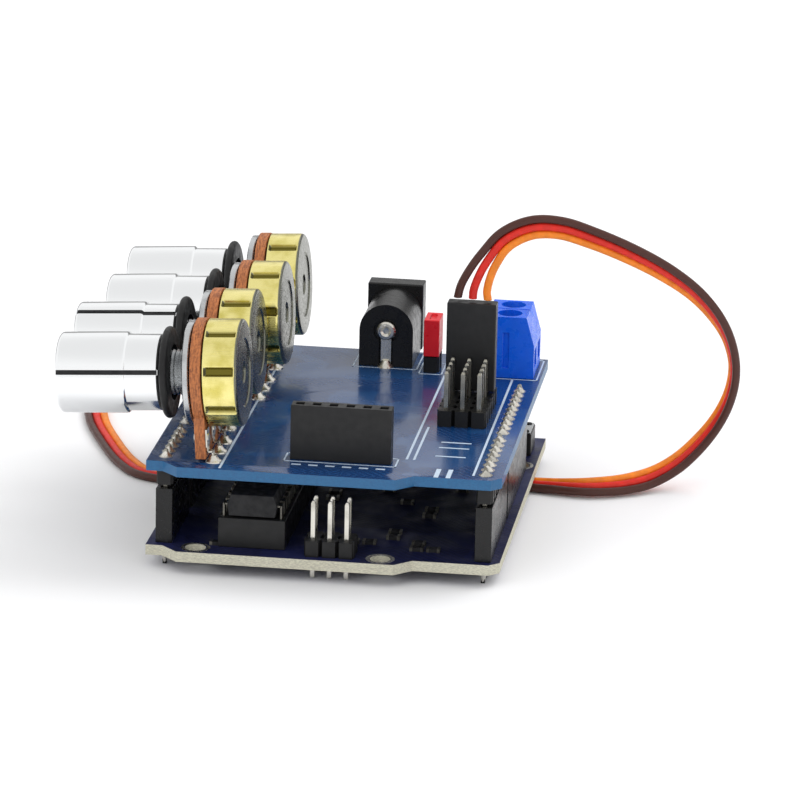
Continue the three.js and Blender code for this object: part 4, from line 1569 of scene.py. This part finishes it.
    def bush(self) -> None:
        """The front plate and the threaded bush."""
        back = -self.wafer - 0.3 * MM
        thread = []
        for i in range(6):
            x = back - 1.6 * MM - i * 0.6 * MM
            thread += [(3.45 * MM, x), (3.2 * MM, x - 0.3 * MM)]
        bore, wide = self.bore_r, self.plate_r
        profile = [(bore, back), (wide - 0.1 * MM, back), (wide, back - 0.15 * MM),
                   (wide, back - 0.85 * MM), (wide - 0.2 * MM, back - MM), (4.35 * MM, back - MM),
                   *thread, (3.4 * MM, back - 5.9 * MM), (bore, back - 6 * MM), (bore, back)]
        part = Solid(self.fixed).turned(profile, 96, self.lathe)
        dressed(part.finished(f"pot_{self.number}_plate_and_bush"), Finish.STEEL, BODY,
                f"pot_{self.number}_bush")

    def shaft(self) -> None:
        """The shaft, with the wiper disc inside the can."""
        r = self.shaft_r
        profile = [(0, 3.2 * MM), (6.5 * MM, 3.2 * MM), (6.5 * MM, 1.6 * MM), (r, 1.6 * MM),
                   (r, -16.1 * MM), (r - 0.4 * MM, -16.5 * MM), (0, -16.5 * MM)]
        part = Solid(self.turning).turned(profile, 48, self.lathe)
        dressed(part.finished(f"pot_{self.number}_spindle"), Finish.STEEL, self.body,
                f"pot_{self.number}_shaft")

    def knob_core(self) -> None:
        """The black core with its rounded skirt."""
        back, curl = self.skirt_back, 0.6 * MM
        inner = self.cap_r - self.wall - self.play
        wide = self.front_r - self.wall - self.play
        edge = arc((self.skirt_r - curl, back - 0.65 * MM), curl, 90, -90, 12)
        top = self.front + self.wall + self.play
        neck = self.step - self.play
        profile = [(4.2 * MM, back - 3.4 * MM), (4.2 * MM, back), (5.9 * MM, back), *edge,
                   (inner, back - 1.35 * MM), (inner, neck), (wide, neck), (wide, top), (0, top),
                   (0, self.front + 5.4 * MM), (3.15 * MM, self.front + 5.4 * MM),
                   (3.15 * MM, back - 3.4 * MM), (4.2 * MM, back - 3.4 * MM)]
        part = Solid(self.turning).turned(profile, 120, self.lathe)
        dressed(part.finished(f"knob_{self.number}_hub"), Finish.KNOB_BLACK, self.body,
                f"knob_{self.number}_core")

    @property
    def mouth(self) -> float:
        """Where the cap's open end is."""
        return self.skirt_back - 1.6 * MM

    def knob_cap(self) -> None:
        """The chrome cap with rounded rims, and the groove of its pointer."""
        r, big, wall, rim = self.cap_r, self.front_r, self.wall, self.rim
        mouth, step, front, half = self.mouth, self.step, self.front, self.groove
        curve = arc((big - rim, front + rim), rim, 0, -90, 8)
        profile = [(r - wall, mouth), (r - 0.2 * MM, mouth), (r, mouth - 0.2 * MM),
                   (r, step + 0.05 * MM), (r + 0.03 * MM, step), (big - 0.12 * MM, step - 0.12 * MM),
                   (big, step - 0.35 * MM), *curve, (4.6 * MM, front), (4.4 * MM, front + 0.12 * MM),
                   (0, front + 0.06 * MM), (0, front + wall), (big - wall, front + wall),
                   (big - wall, step), (r - wall, step), (r - wall, mouth)]
        shell = Solid(self.turning).turned(profile, 160, self.lathe)
        cap = shell.finished(f"knob_{self.number}_shell")
        side = Solid(self.turning)
        side.block((front - MM, -half, r - 0.3 * MM), (mouth + MM, half, big + MM))
        carved(cap, side.finished("side_groove"))
        end = Solid(self.turning)
        end.block((front - MM, -half, MM), (front + 0.3 * MM, half, big + MM))
        carved(cap, end.finished("end_groove"))
        dressed(cap, Finish.CHROME, self.body, f"knob_{self.number}_cap")

    def pointer(self) -> None:
        """The dark strip in the pointer's groove, along the side and over the front."""
        front, half = self.front, self.groove * 0.9
        low, high = self.cap_r - 0.36 * MM, self.cap_r - 0.2 * MM
        # A thin dark strip that fills the groove.
        ink = Solid(self.turning)
        ink.block((front + 0.31 * MM, -half, low), (self.mouth - 0.1 * MM, half, high))
        ink.block((front + 0.2 * MM, -half, 1.05 * MM), (front + 0.35 * MM, half, high))
        dressed(ink.finished(f"knob_{self.number}_pointer"), Finish.GROOVE, self.body)


@dataclass
class BarrelSocket:
    """The round-topped power socket at the shield's back edge.

    Attributes:
        width: how wide its barrel is at the board.
        axis: how high the plug's axis is.
        body_r: the radius of its round top.
        bore_r: the radius of the plug's bore.
        bore_depth: how deep the bore is.
        flange: how deep the square front is.
        joint: the profile of the solder joint behind it, in millimetres.
    """

    width: float = 8.6 * MM
    axis: float = 5.9 * MM
    body_r: float = 4.3 * MM
    bore_r: float = 3.2 * MM
    bore_depth: float = 9.2 * MM
    flange: float = 3.5 * MM
    joint: tuple[Pair, ...] = (
        (0, 0), (1.35, 0), (1.3, 0.15), (0.9, 0.55), (0.6, 1.1), (0, 1.15))

    def build(self) -> None:
        """Build and dress the socket and its contact."""
        low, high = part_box("shield_jack")
        x = (low.x + high.x) / 2
        where = Matrix.Translation((x, low.y, low.z))
        dome = arc((0, self.axis), self.body_r, 0, 180, 36)
        half = self.width / 2
        depth = high.y - low.y
        barrel = Solid(where).prism([(-half, 0), (half, 0), *dome], 0, depth - MM, OUT_ALONG_Y)
        body = barrel.finished("shield_jack_barrel")
        slot = Solid(where).block((-1.1 * MM, -MM, -MM), (1.1 * MM, 0.7 * MM, self.axis))
        carved(body, slot.finished("strip_slot"))
        spin = Matrix.Translation((0, 0, self.axis)) @ Matrix.Rotation(math.radians(-90), 4, "X")
        hole = Solid(where).turned(in_mm((0, -1), (2, -1), (2, 0.55), (0, 0.55)), 40, spin)
        carved(body, hole.finished("rivet_recess"))
        self.bored(body, where, spin, depth)
        dressed(eased(body, 0.18 * MM, 3), Finish.BLACK, BODY, "shield_jack")
        edge = (high.x - low.x) / 2
        flange = Solid(where).block((-edge, depth - self.flange, 0), (edge, depth, high.z - low.z))
        front = flange.finished("shield_jack_flange")
        self.bored(front, where, spin, depth)
        dressed(eased(front, 0.25 * MM, 3), Finish.BLACK, BODY)
        self.contact(where, spin, depth)

    def bored(self, piece: bpy.types.Object, where: Matrix, spin: Matrix, depth: float) -> None:
        """Cut the plug's bore into a piece.

        Args:
            piece: the piece.
            where: the socket's place.
            spin: lays a turned piece along the bore.
            depth: how deep the whole socket is.
        """
        start, end, r = depth - self.bore_depth, depth + MM, self.bore_r
        bore = Solid(where).turned([(0, start), (r, start), (r, end), (0, end)], 48, spin)
        carved(piece, bore.finished("plug_bore"))

    def contact(self, where: Matrix, spin: Matrix, depth: float) -> None:
        """The rivet with its dimple, the strip down to the board, and the pin inside.

        Args:
            where: the socket's place.
            spin: lays a turned piece along the bore.
            depth: how deep the whole socket is.
        """
        head = in_mm((0, -0.05), (0.5, -0.1), (0.85, -0.42), (1.25, -0.38), (1.5, -0.1),
                     (1.55, 0.3), (1.0, 0.5))
        pin = [(MM, depth - 1.6 * MM), (0.7 * MM, depth - 1.1 * MM), (0, depth - MM)]
        rivet = Solid(where).turned(head + pin, 40, spin)
        dressed(rivet.finished("shield_jack_rivet"), Finish.SOLDER, BODY, "shield_jack_contact")
        strip = Solid(where)
        strip.block((-0.85 * MM, 0.1 * MM, 0.1 * MM), (0.85 * MM, 0.4 * MM, self.axis))
        dressed(eased(strip.finished("shield_jack_strip"), 0.08 * MM), Finish.PIN_METAL, BODY)
        behind = Matrix.Translation((0, 0.1 * MM, 0))
        foot = Solid(where).turned(in_mm(*self.joint), 28, behind)
        dressed(foot.finished("shield_jack_foot"), Finish.SOLDER, BODY)


@dataclass
class ShieldParts:
    """The jumper, the front socket strip, the servo pins and the blue terminal.

    Attributes:
        sunk: how far above their strip's foot the posts start.
        groove: half the width of the groove between the terminal's poles.
        nick: how deep the grooves in the terminal's sides are.
        screw_profile: a screw's head and neck, in millimetres down from its top.
        shank_r: the radius of a screw's thread.
    """

    sunk: float = 0.2 * MM
    groove: float = 0.15 * MM
    nick: float = 0.35 * MM
    screw_profile: tuple[Pair, ...] = (
        (0, 0), (1.45, 0), (1.66, -0.12), (1.7, -0.35), (1.7, -1.9), (1.6, -2), (1.2, -2))
    shank_r: float = 1.2 * MM

    def build(self, growths: Growths) -> None:
        """Build and dress each part.

        Args:
            growths: the trees that the parts share.
        """
        self.jumper(growths)
        self.side_strip()
        self.servo_pins(growths)
        self.terminal()

    def jumper(self, growths: Growths) -> None:
        """The two jumper pins and the red cap over them.

        Args:
            growths: the trees that the parts share.
        """
        low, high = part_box("jumper_pins")
        grid = PinGrid.in_node("jumper_pins", 1, 2)
        grid.moulding(growths, "jumper_base", "jumper_pins", low.z)
        grid.posts(growths, "jumper_posts", low.z + self.sunk, high.z - low.z - self.sunk)
        cap = copied("jumper_cap")
        cap_low, cap_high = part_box("jumper_cap")
        middle = (cap_low + cap_high) / 2
        window = Solid(Matrix.Translation((middle.x, middle.y, cap_high.z)))
        window.block((-0.45 * MM, -1.5 * MM, -0.35 * MM), (0.45 * MM, 1.5 * MM, MM))
        carved(cap, window.finished("cap_window"))
        dressed(eased(cap, 0.22 * MM), Finish.RED, "jumper_cap", "jumper_cap")

    def side_strip(self) -> None:
        """The six-way socket strip at the shield's front, with its sprung contacts."""
        dressed(refined("side_header", 0.16 * MM), Finish.SATIN_BLACK, BODY, "side_header")
        low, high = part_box("side_header")
        contacts = Solid()
        y = (low.y + high.y) / 2
        for i in range(6):
            x = low.x + (i + 0.5) * PITCH
            for side in (-1, 1):
                contacts.block((x - 0.35 * MM, y + side * 0.5 * MM - 0.06 * MM, high.z - 5 * MM),
                               (x + 0.35 * MM, y + side * 0.5 * MM + 0.06 * MM, high.z - 0.9 * MM))
        dressed(contacts.finished("side_contacts"), Finish.GOLD, BODY)

    def servo_pins(self, growths: Growths) -> None:
        """The block of servo pins, three across and six along.

        Args:
            growths: the trees that the parts share.
        """
        low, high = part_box("servo_pins")
        grid = PinGrid.in_node("servo_pins", 3, 6)
        grid.moulding(growths, "servo_pin_base", "servo_pins", low.z, 2.52 * MM)
        grid.posts(growths, "servo_posts", low.z + self.sunk, high.z - low.z - self.sunk, 0.35 * MM)

    def terminal(self) -> None:
        """The blue terminal with its screws, its clamps and the groove between its poles."""
        block = copied("terminal_block")
        low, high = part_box("terminal_block")
        middle = (low + high) / 2
        groove = Solid()
        left, right = middle.y - self.groove, middle.y + self.groove
        groove.block((low.x - MM, left, low.z + 1.2 * MM), (low.x + self.nick, right, high.z + MM))
        groove.block((low.x - MM, left, high.z - 0.3 * MM), (high.x + MM, right, high.z + MM))
        carved(block, groove.finished("pole_groove"))
        rail = Solid()
        rail.block((middle.x - 1.2 * MM, low.y - MM, low.z + 1.6 * MM),
                   (middle.x - 0.2 * MM, low.y + self.nick, low.z + 7.4 * MM))
        carved(block, rail.finished("joining_rail"))
        dressed(eased(block, 0.2 * MM), Finish.BLUE, BODY, "terminal_block")
        clamps = Solid()
        for i in (1, 2):
            screw_low, screw_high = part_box(f"terminal_screw_{i}")
            at = (screw_low + screw_high) / 2
            for bottom, top in ((1.5 * MM, 1.8 * MM), (3.9 * MM, 4.3 * MM)):
                clamps.block((at.x - 1.9 * MM, at.y - 1.4 * MM, low.z + bottom),
                             (high.x - 1.2 * MM, at.y + 1.4 * MM, low.z + top))
            self.screw(i, at, screw_low.z, screw_high.z)
        dressed(eased(clamps.finished("terminal_clamps"), 0.06 * MM), Finish.STEEL, BODY)

    def screw(self, number: int, at: Vector, low: float, high: float) -> None:
        """One terminal screw with its slot.

        Args:
            number: which of the two it is.
            at: its middle.
            low: its lowest level.
            high: its highest level.
        """
        where = Matrix.Translation((at.x, at.y, high))
        length = low - high
        shank = [(self.shank_r, length + 0.2 * MM), (0.9 * MM, length), (0, length)]
        screw = Solid(where).turned(in_mm(*self.screw_profile) + shank, 48)
        head = screw.finished(f"terminal_screw_{number}_head")
        slot = Solid(where).block((-0.35 * MM, -3 * MM, -0.8 * MM), (0.35 * MM, 3 * MM, MM))
        carved(head, slot.finished("screw_slot"))
        dressed(head, Finish.STEEL, f"terminal_screw_{number}", f"terminal_screw_{number}")


@dataclass
class ServoLead:
    """The flat servo lead: three round wires side by side, and a housing at each end.

    Attributes:
        width: the width of the three wires together; it is not used.
        wire_r: one wire's radius.
        steps: how many rings each wire has, less one.
        sides: how many sides a wire has.
        length: how long the lead is.
        parting: how far from a housing the wires start to part.
        fine: how many points the curve has between two of the route's.
    """

    width: float = 3.9 * MM
    wire_r: float = 0.65 * MM
    steps: int = 460
    sides: int = 16
    length: float = 0.23
    parting: float = 9 * MM
    fine: int = 40

    # From the plug to the far end: x, y, z, then the direction from the brown wire to the
    # orange one. The boards' corner is at x, y = 0.
    route = (
        (44.21, 39.86, 34.3, 1, 0, 0), (44.3, 39.86, 35.6, 1, 0, 0), (45.1, 39.9, 38, 1, 0, -0.1),
        (46.4, 40.1, 40.5, 1, 0, -0.25), (48.8, 40.9, 43.6, 0.8, 0.1, -0.6),
        (52.7, 42.2, 45.4, 0.4, 0.2, -0.9), (57, 43.8, 45.2, 0.05, 0.3, -0.95),
        (61.6, 45.6, 43.5, -0.1, 0.35, -0.93), (67.5, 47.8, 40.7, -0.3, 0.4, -0.87),
        (73, 50, 37.4, -0.42, 0.5, -0.75), (77.6, 52, 33.7, -0.5, 0.65, -0.55),
        (80.9, 53.8, 29.6, -0.5, 0.8, -0.35), (83, 55.4, 25.3, -0.4, 0.9, -0.1),
        (83.9, 56.7, 20.6, -0.3, 0.95, 0.05), (83.3, 57.7, 15.9, -0.3, 0.93, 0.15),
        (81.5, 58.3, 11.5, -0.35, 0.9, 0.25), (78.8, 58.2, 7.6, -0.4, 0.85, 0.35),
        (75.5, 57.5, 4.3, -0.35, 0.8, 0.45), (72, 56.1, 2.3, -0.3, 0.8, 0.5),
        (67.9, 53, 1.7, -0.3, 0.8, 0.5), (62.7, 50.9, 1.55, -0.1, 0.9, 0.4),
        (56.8, 51.5, 1.15, 0, 0.98, 0.15), (51, 52.5, 0.86, 0, 1, 0.04), (40, 52.6, 0.76, 0, 1, 0),
        (27, 50.6, 0.72, -0.15, 0.99, 0), (14, 47, 0.72, -0.2, 0.97, 0), (3.5, 45, 0.72, 0, 1, 0),
        (-3.4, 44.9, 0.72, 0.2, 0.98, 0), (-8.4, 46.8, 0.72, 0.6, 0.8, 0),
        (-12, 51.6, 0.72, 0.85, 0.5, 0), (-17, 62.6, 0.72, 0.91, 0.42, 0),
        (-21.2, 74.4, 0.72, 0.96, 0.28, 0), (-22.6, 83, 0.72, 1, 0, 0), (-20, 90.8, 0.72, 0.8, -0.6, 0),
        (-14.6, 96, 0.8, 0.45, -0.9, 0), (-7.4, 97.9, 1.27, 0.1, -1, 0),
    )

    def build(self) -> None:
        """Build and dress the lead and its two housings."""
        plug = self.housing("servo_plug")
        socket = self.housing("lead_socket")
        wires, line = self.wires()
        dressed(wires, Finish.LEAD, BODY, "servo_lead")

    def housing(self, node: str) -> bpy.types.Object:
        """One three-way housing, as a refined copy of its node."""
        return dressed(refined(node, 0.2 * MM), Finish.SATIN_BLACK, BODY, node)

    def samples(self) -> list[tuple[Vector, Vector, Vector]]:
        """The route's points: place, direction, and the way from the brown wire to the orange.

        Returns:
            One entry for each ring of the wires.
        """
        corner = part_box("controller_board")[0]
        knots = [(Vector((x * MM + corner.x, y * MM + corner.y, z * MM)), Vector(lay))
                 for x, y, z, *lay in self.route]
        ends = [(2 * knots[0][0] - knots[1][0], knots[0][1]),
                (2 * knots[-1][0] - knots[-2][0], knots[-1][1])]
        knots = [ends[0], *knots, ends[1]]
        fine = []
        for before, start, end, after in zip(knots, knots[1:], knots[2:], knots[3:]):
            times = [0.0]
            for a, b in ((before, start), (start, end), (end, after)):
                times.append(times[-1] + max(1e-9, (b[0] - a[0]).length ** 0.5))
            for i in range(self.fine):
                t = times[1] + (times[2] - times[1]) * i / self.fine
                place = self.through([k[0] for k in (before, start, end, after)], times, t)
                fine.append((place, start[1].lerp(end[1], i / self.fine)))
        fine.append(knots[-2])
        return self.evened(fine)

    @staticmethod
    def through(points: Sequence[Vector], times: Sequence[float], t: float) -> Vector:
        """A point of the centripetal curve between the second and the third of four points.

        Args:
            points: the four points.
            times: the time at each.
            t: the time of the point that is wanted.

        Returns:
            The point.
        """
        def mix(a: Vector, b: Vector, start: float, end: float) -> Vector:
            """A point on the straight line between two, by time."""
            return a.lerp(b, (t - start) / (end - start))

        first = [mix(points[i], points[i + 1], times[i], times[i + 1]) for i in range(3)]
        second = [mix(first[i], first[i + 1], times[i], times[i + 2]) for i in range(2)]
        return mix(second[0], second[1], times[1], times[2])

    def evened(self, fine: Sequence[tuple[Vector, Vector]]) -> list[tuple[Vector, Vector, Vector]]:
        """The same curve with evenly spaced points.

        Args:
            fine: closely spaced places, and the lay at each.

        Returns:
            Place, direction and lay at each step.
        """
        along = [0.0]
        for (a, _), (b, _) in zip(fine, fine[1:]):
            along.append(along[-1] + (b - a).length)
        rows, j = [], 0
        for i in range(self.steps + 1):
            want = along[-1] * i / self.steps
            while j < len(along) - 2 and along[j + 1] < want:
                j += 1
            share = (want - along[j]) / max(1e-12, along[j + 1] - along[j])
            (here, lay), (there, next_lay) = fine[j], fine[j + 1]
            rows.append((here.lerp(there, share), lay.lerp(next_lay, share)))
        made = []
        for i, (place, lay) in enumerate(rows):
            way = (rows[min(i + 1, self.steps)][0] - rows[max(i - 1, 0)][0]).normalized()
            across = (lay - way * lay.dot(way)).normalized()
            made.append((place, way, across))
        return made

    def gap(self, share: float) -> float:
        """How far apart the wires lie: they part towards each housing.

        Args:
            share: how far along the lead, from 0 to 1.

        Returns:
            The distance from one wire's middle to the next.
        """
        near_end = min(share, 1 - share) * self.length
        parted = max(0.0, 1 - near_end / self.parting) ** 1.5
        return 2 * self.wire_r * 0.985 + parted * (PITCH - 2 * self.wire_r) * 0.85

    def wires(self) -> tuple[bpy.types.Object, list[Vector]]:
        """The three wires as one piece.

        Returns:
            The piece, and the places of its rings.
        """
        samples = self.samples()
        mesh = bmesh.new()
        number = mesh.verts.layers.float.new("wire")
        for wire in (-1, 0, 1):
            rings = []
            for i, (place, way, across) in enumerate(samples):
                up = way.cross(across)
                middle = place + across * wire * self.gap(i / self.steps)
                ring = []
                for k in range(self.sides):
                    angle = 2 * math.pi * k / self.sides
                    vert = mesh.verts.new(middle + self.wire_r * (
                        across * math.cos(angle) + up * math.sin(angle)))
                    vert[number] = wire + 1
                    ring.append(vert)
                rings.append(ring)
            for a, b in zip(rings, rings[1:]):
                for k in range(self.sides):
                    n = (k + 1) % self.sides
                    mesh.faces.new((a[k], a[n], b[n], b[k]))
            mesh.faces.new(rings[0][::-1])
            mesh.faces.new(rings[-1])
        bmesh.ops.recalc_face_normals(mesh, faces=mesh.faces)
        data = bpy.data.meshes.new("lead_wires")
        mesh.to_mesh(data)
        mesh.free()
        return shown("lead_wires", data), [place for place, _, _ in samples]


@dataclass
class Studio:
    """The camera, the pale floor and the soft light.

    Attributes:
        place: where the camera stands.
        aim: what it looks at.
        lens: its focal length, in millimetres.
        sensor: how wide its sensor is, in millimetres.
        tilt: how far it is turned about its own line of sight, in degrees.
        floor: how wide the floor is.
    """

    place: Point = (111.69 * MM, -759.04 * MM, 246.34 * MM)
    aim: Point = (13.9 * MM, 3.3 * MM, 17 * MM)
    lens: float = 232.0
    sensor: float = 36.0
    tilt: float = 1.26
    floor: float = 8.0

    def build(self) -> None:
        """Set up everything that isn't the object."""
        self.camera()
        self.ground()
        self.lamps()
        self.surroundings()
        bpy.context.scene.view_settings.view_transform = "Standard"

    def camera(self) -> None:
        """The camera, turned a little about its line of sight."""
        data = bpy.data.cameras.new("camera")
        data.lens = self.lens
        data.sensor_width = self.sensor
        data.clip_start, data.clip_end = 0.05, 50.0
        camera = bpy.data.objects.new("camera", data)
        camera.location = self.place
        way = Vector(self.aim) - Vector(self.place)
        camera.rotation_euler = (way.to_track_quat("-Z", "Y").to_matrix().to_4x4()
                                 @ Matrix.Rotation(math.radians(self.tilt), 4, "Z")).to_euler()
        bpy.context.scene.collection.objects.link(camera)
        bpy.context.scene.camera = camera

    def ground(self) -> None:
        """The pale floor."""
        half = self.floor / 2
        data = bpy.data.meshes.new("floor")
        data.from_pydata([(-half, -half, 0), (half, -half, 0), (half, half, 0), (-half, half, 0)],
                         [], [(0, 1, 2, 3)])
        floor = bpy.data.objects.new("floor", data)
        recipe = Recipe("floor paper")
        recipe.set(Base_Color=recipe.blend(recipe.noise(3, 2), paint("#f4f4f5"), paint("#f7f7f8")),
                   Roughness=0.75, Specular_IOR_Level=0.2)
        data.materials.append(recipe.material)
        bpy.context.scene.collection.objects.link(floor)
        floor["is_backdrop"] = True

    def lamps(self) -> None:
        """A broad soft lamp at the back right, and a weaker one at the front left."""
        for name, place, size, power in (("key", (0.9, 0.7, 1.5), 1.3, 15.0),
                                         ("fill", (-0.8, -1.2, 1.1), 1.2, 4.0)):
            data = bpy.data.lights.new(name, "AREA")
            data.shape = "SQUARE"
            data.size = size
            data.energy = power
            lamp = bpy.data.objects.new(name, data)
            lamp.visible_glossy = False
            lamp.location = place
            lamp.rotation_euler = (-Vector(place)).to_track_quat("-Z", "Y").to_euler()
            bpy.context.scene.collection.objects.link(lamp)

    def surroundings(self) -> None:
        """White walls all round, with a dim low band behind that draws the chrome's edges."""
        world = bpy.data.worlds.new("studio")
        world.use_nodes = True
        bpy.context.scene.world = world
        sky = Wiring(world.node_tree)
        ray = sky.tree.nodes.new("ShaderNodeTexCoord")
        _, y, z = sky.axes(ray.outputs["Generated"])
        band = sky.sum("MULTIPLY", sky.spread(z, 0.0, 0.06, 0.0, 0.75),
                       sky.spread(z, 0.2, 0.34, 1.0, 0.0))
        dim = sky.sum("MULTIPLY", band, sky.spread(y, 0.1, 0.6, 0.0, 1.0))
        back = sky.tree.nodes["Background"]
        sky.feed(back.inputs["Strength"],
                 sky.sum("SUBTRACT", sky.spread(z, 0.5, 1.0, 1.0, 0.86), dim))
        back.inputs["Color"].default_value = (1.0, 1.0, 1.0, 1.0)


def corners(bounds: tuple[Vector, Vector]) -> list[list[float]]:
    """Two corners as plain lists."""
    return [list(corner) for corner in bounds]


def main() -> None:
    """Build the stack's looks around the frame."""
    logging.basicConfig(level=logging.INFO, format="%(message)s")
    cad_box = corners(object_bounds())
    Studio().build()
    ServoLead().build()
    growths = Growths()
    Boards().build(growths)
    JoiningRows().build(growths)
    ControllerParts().build(growths)
    for number in (1, 2, 3, 4):
        Potentiometer(number).build(growths)
    BarrelSocket().build()
    ShieldParts().build(growths)
    {"cad": cad_box, "visual": corners(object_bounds())}


if __name__ == "__main__":
    main()
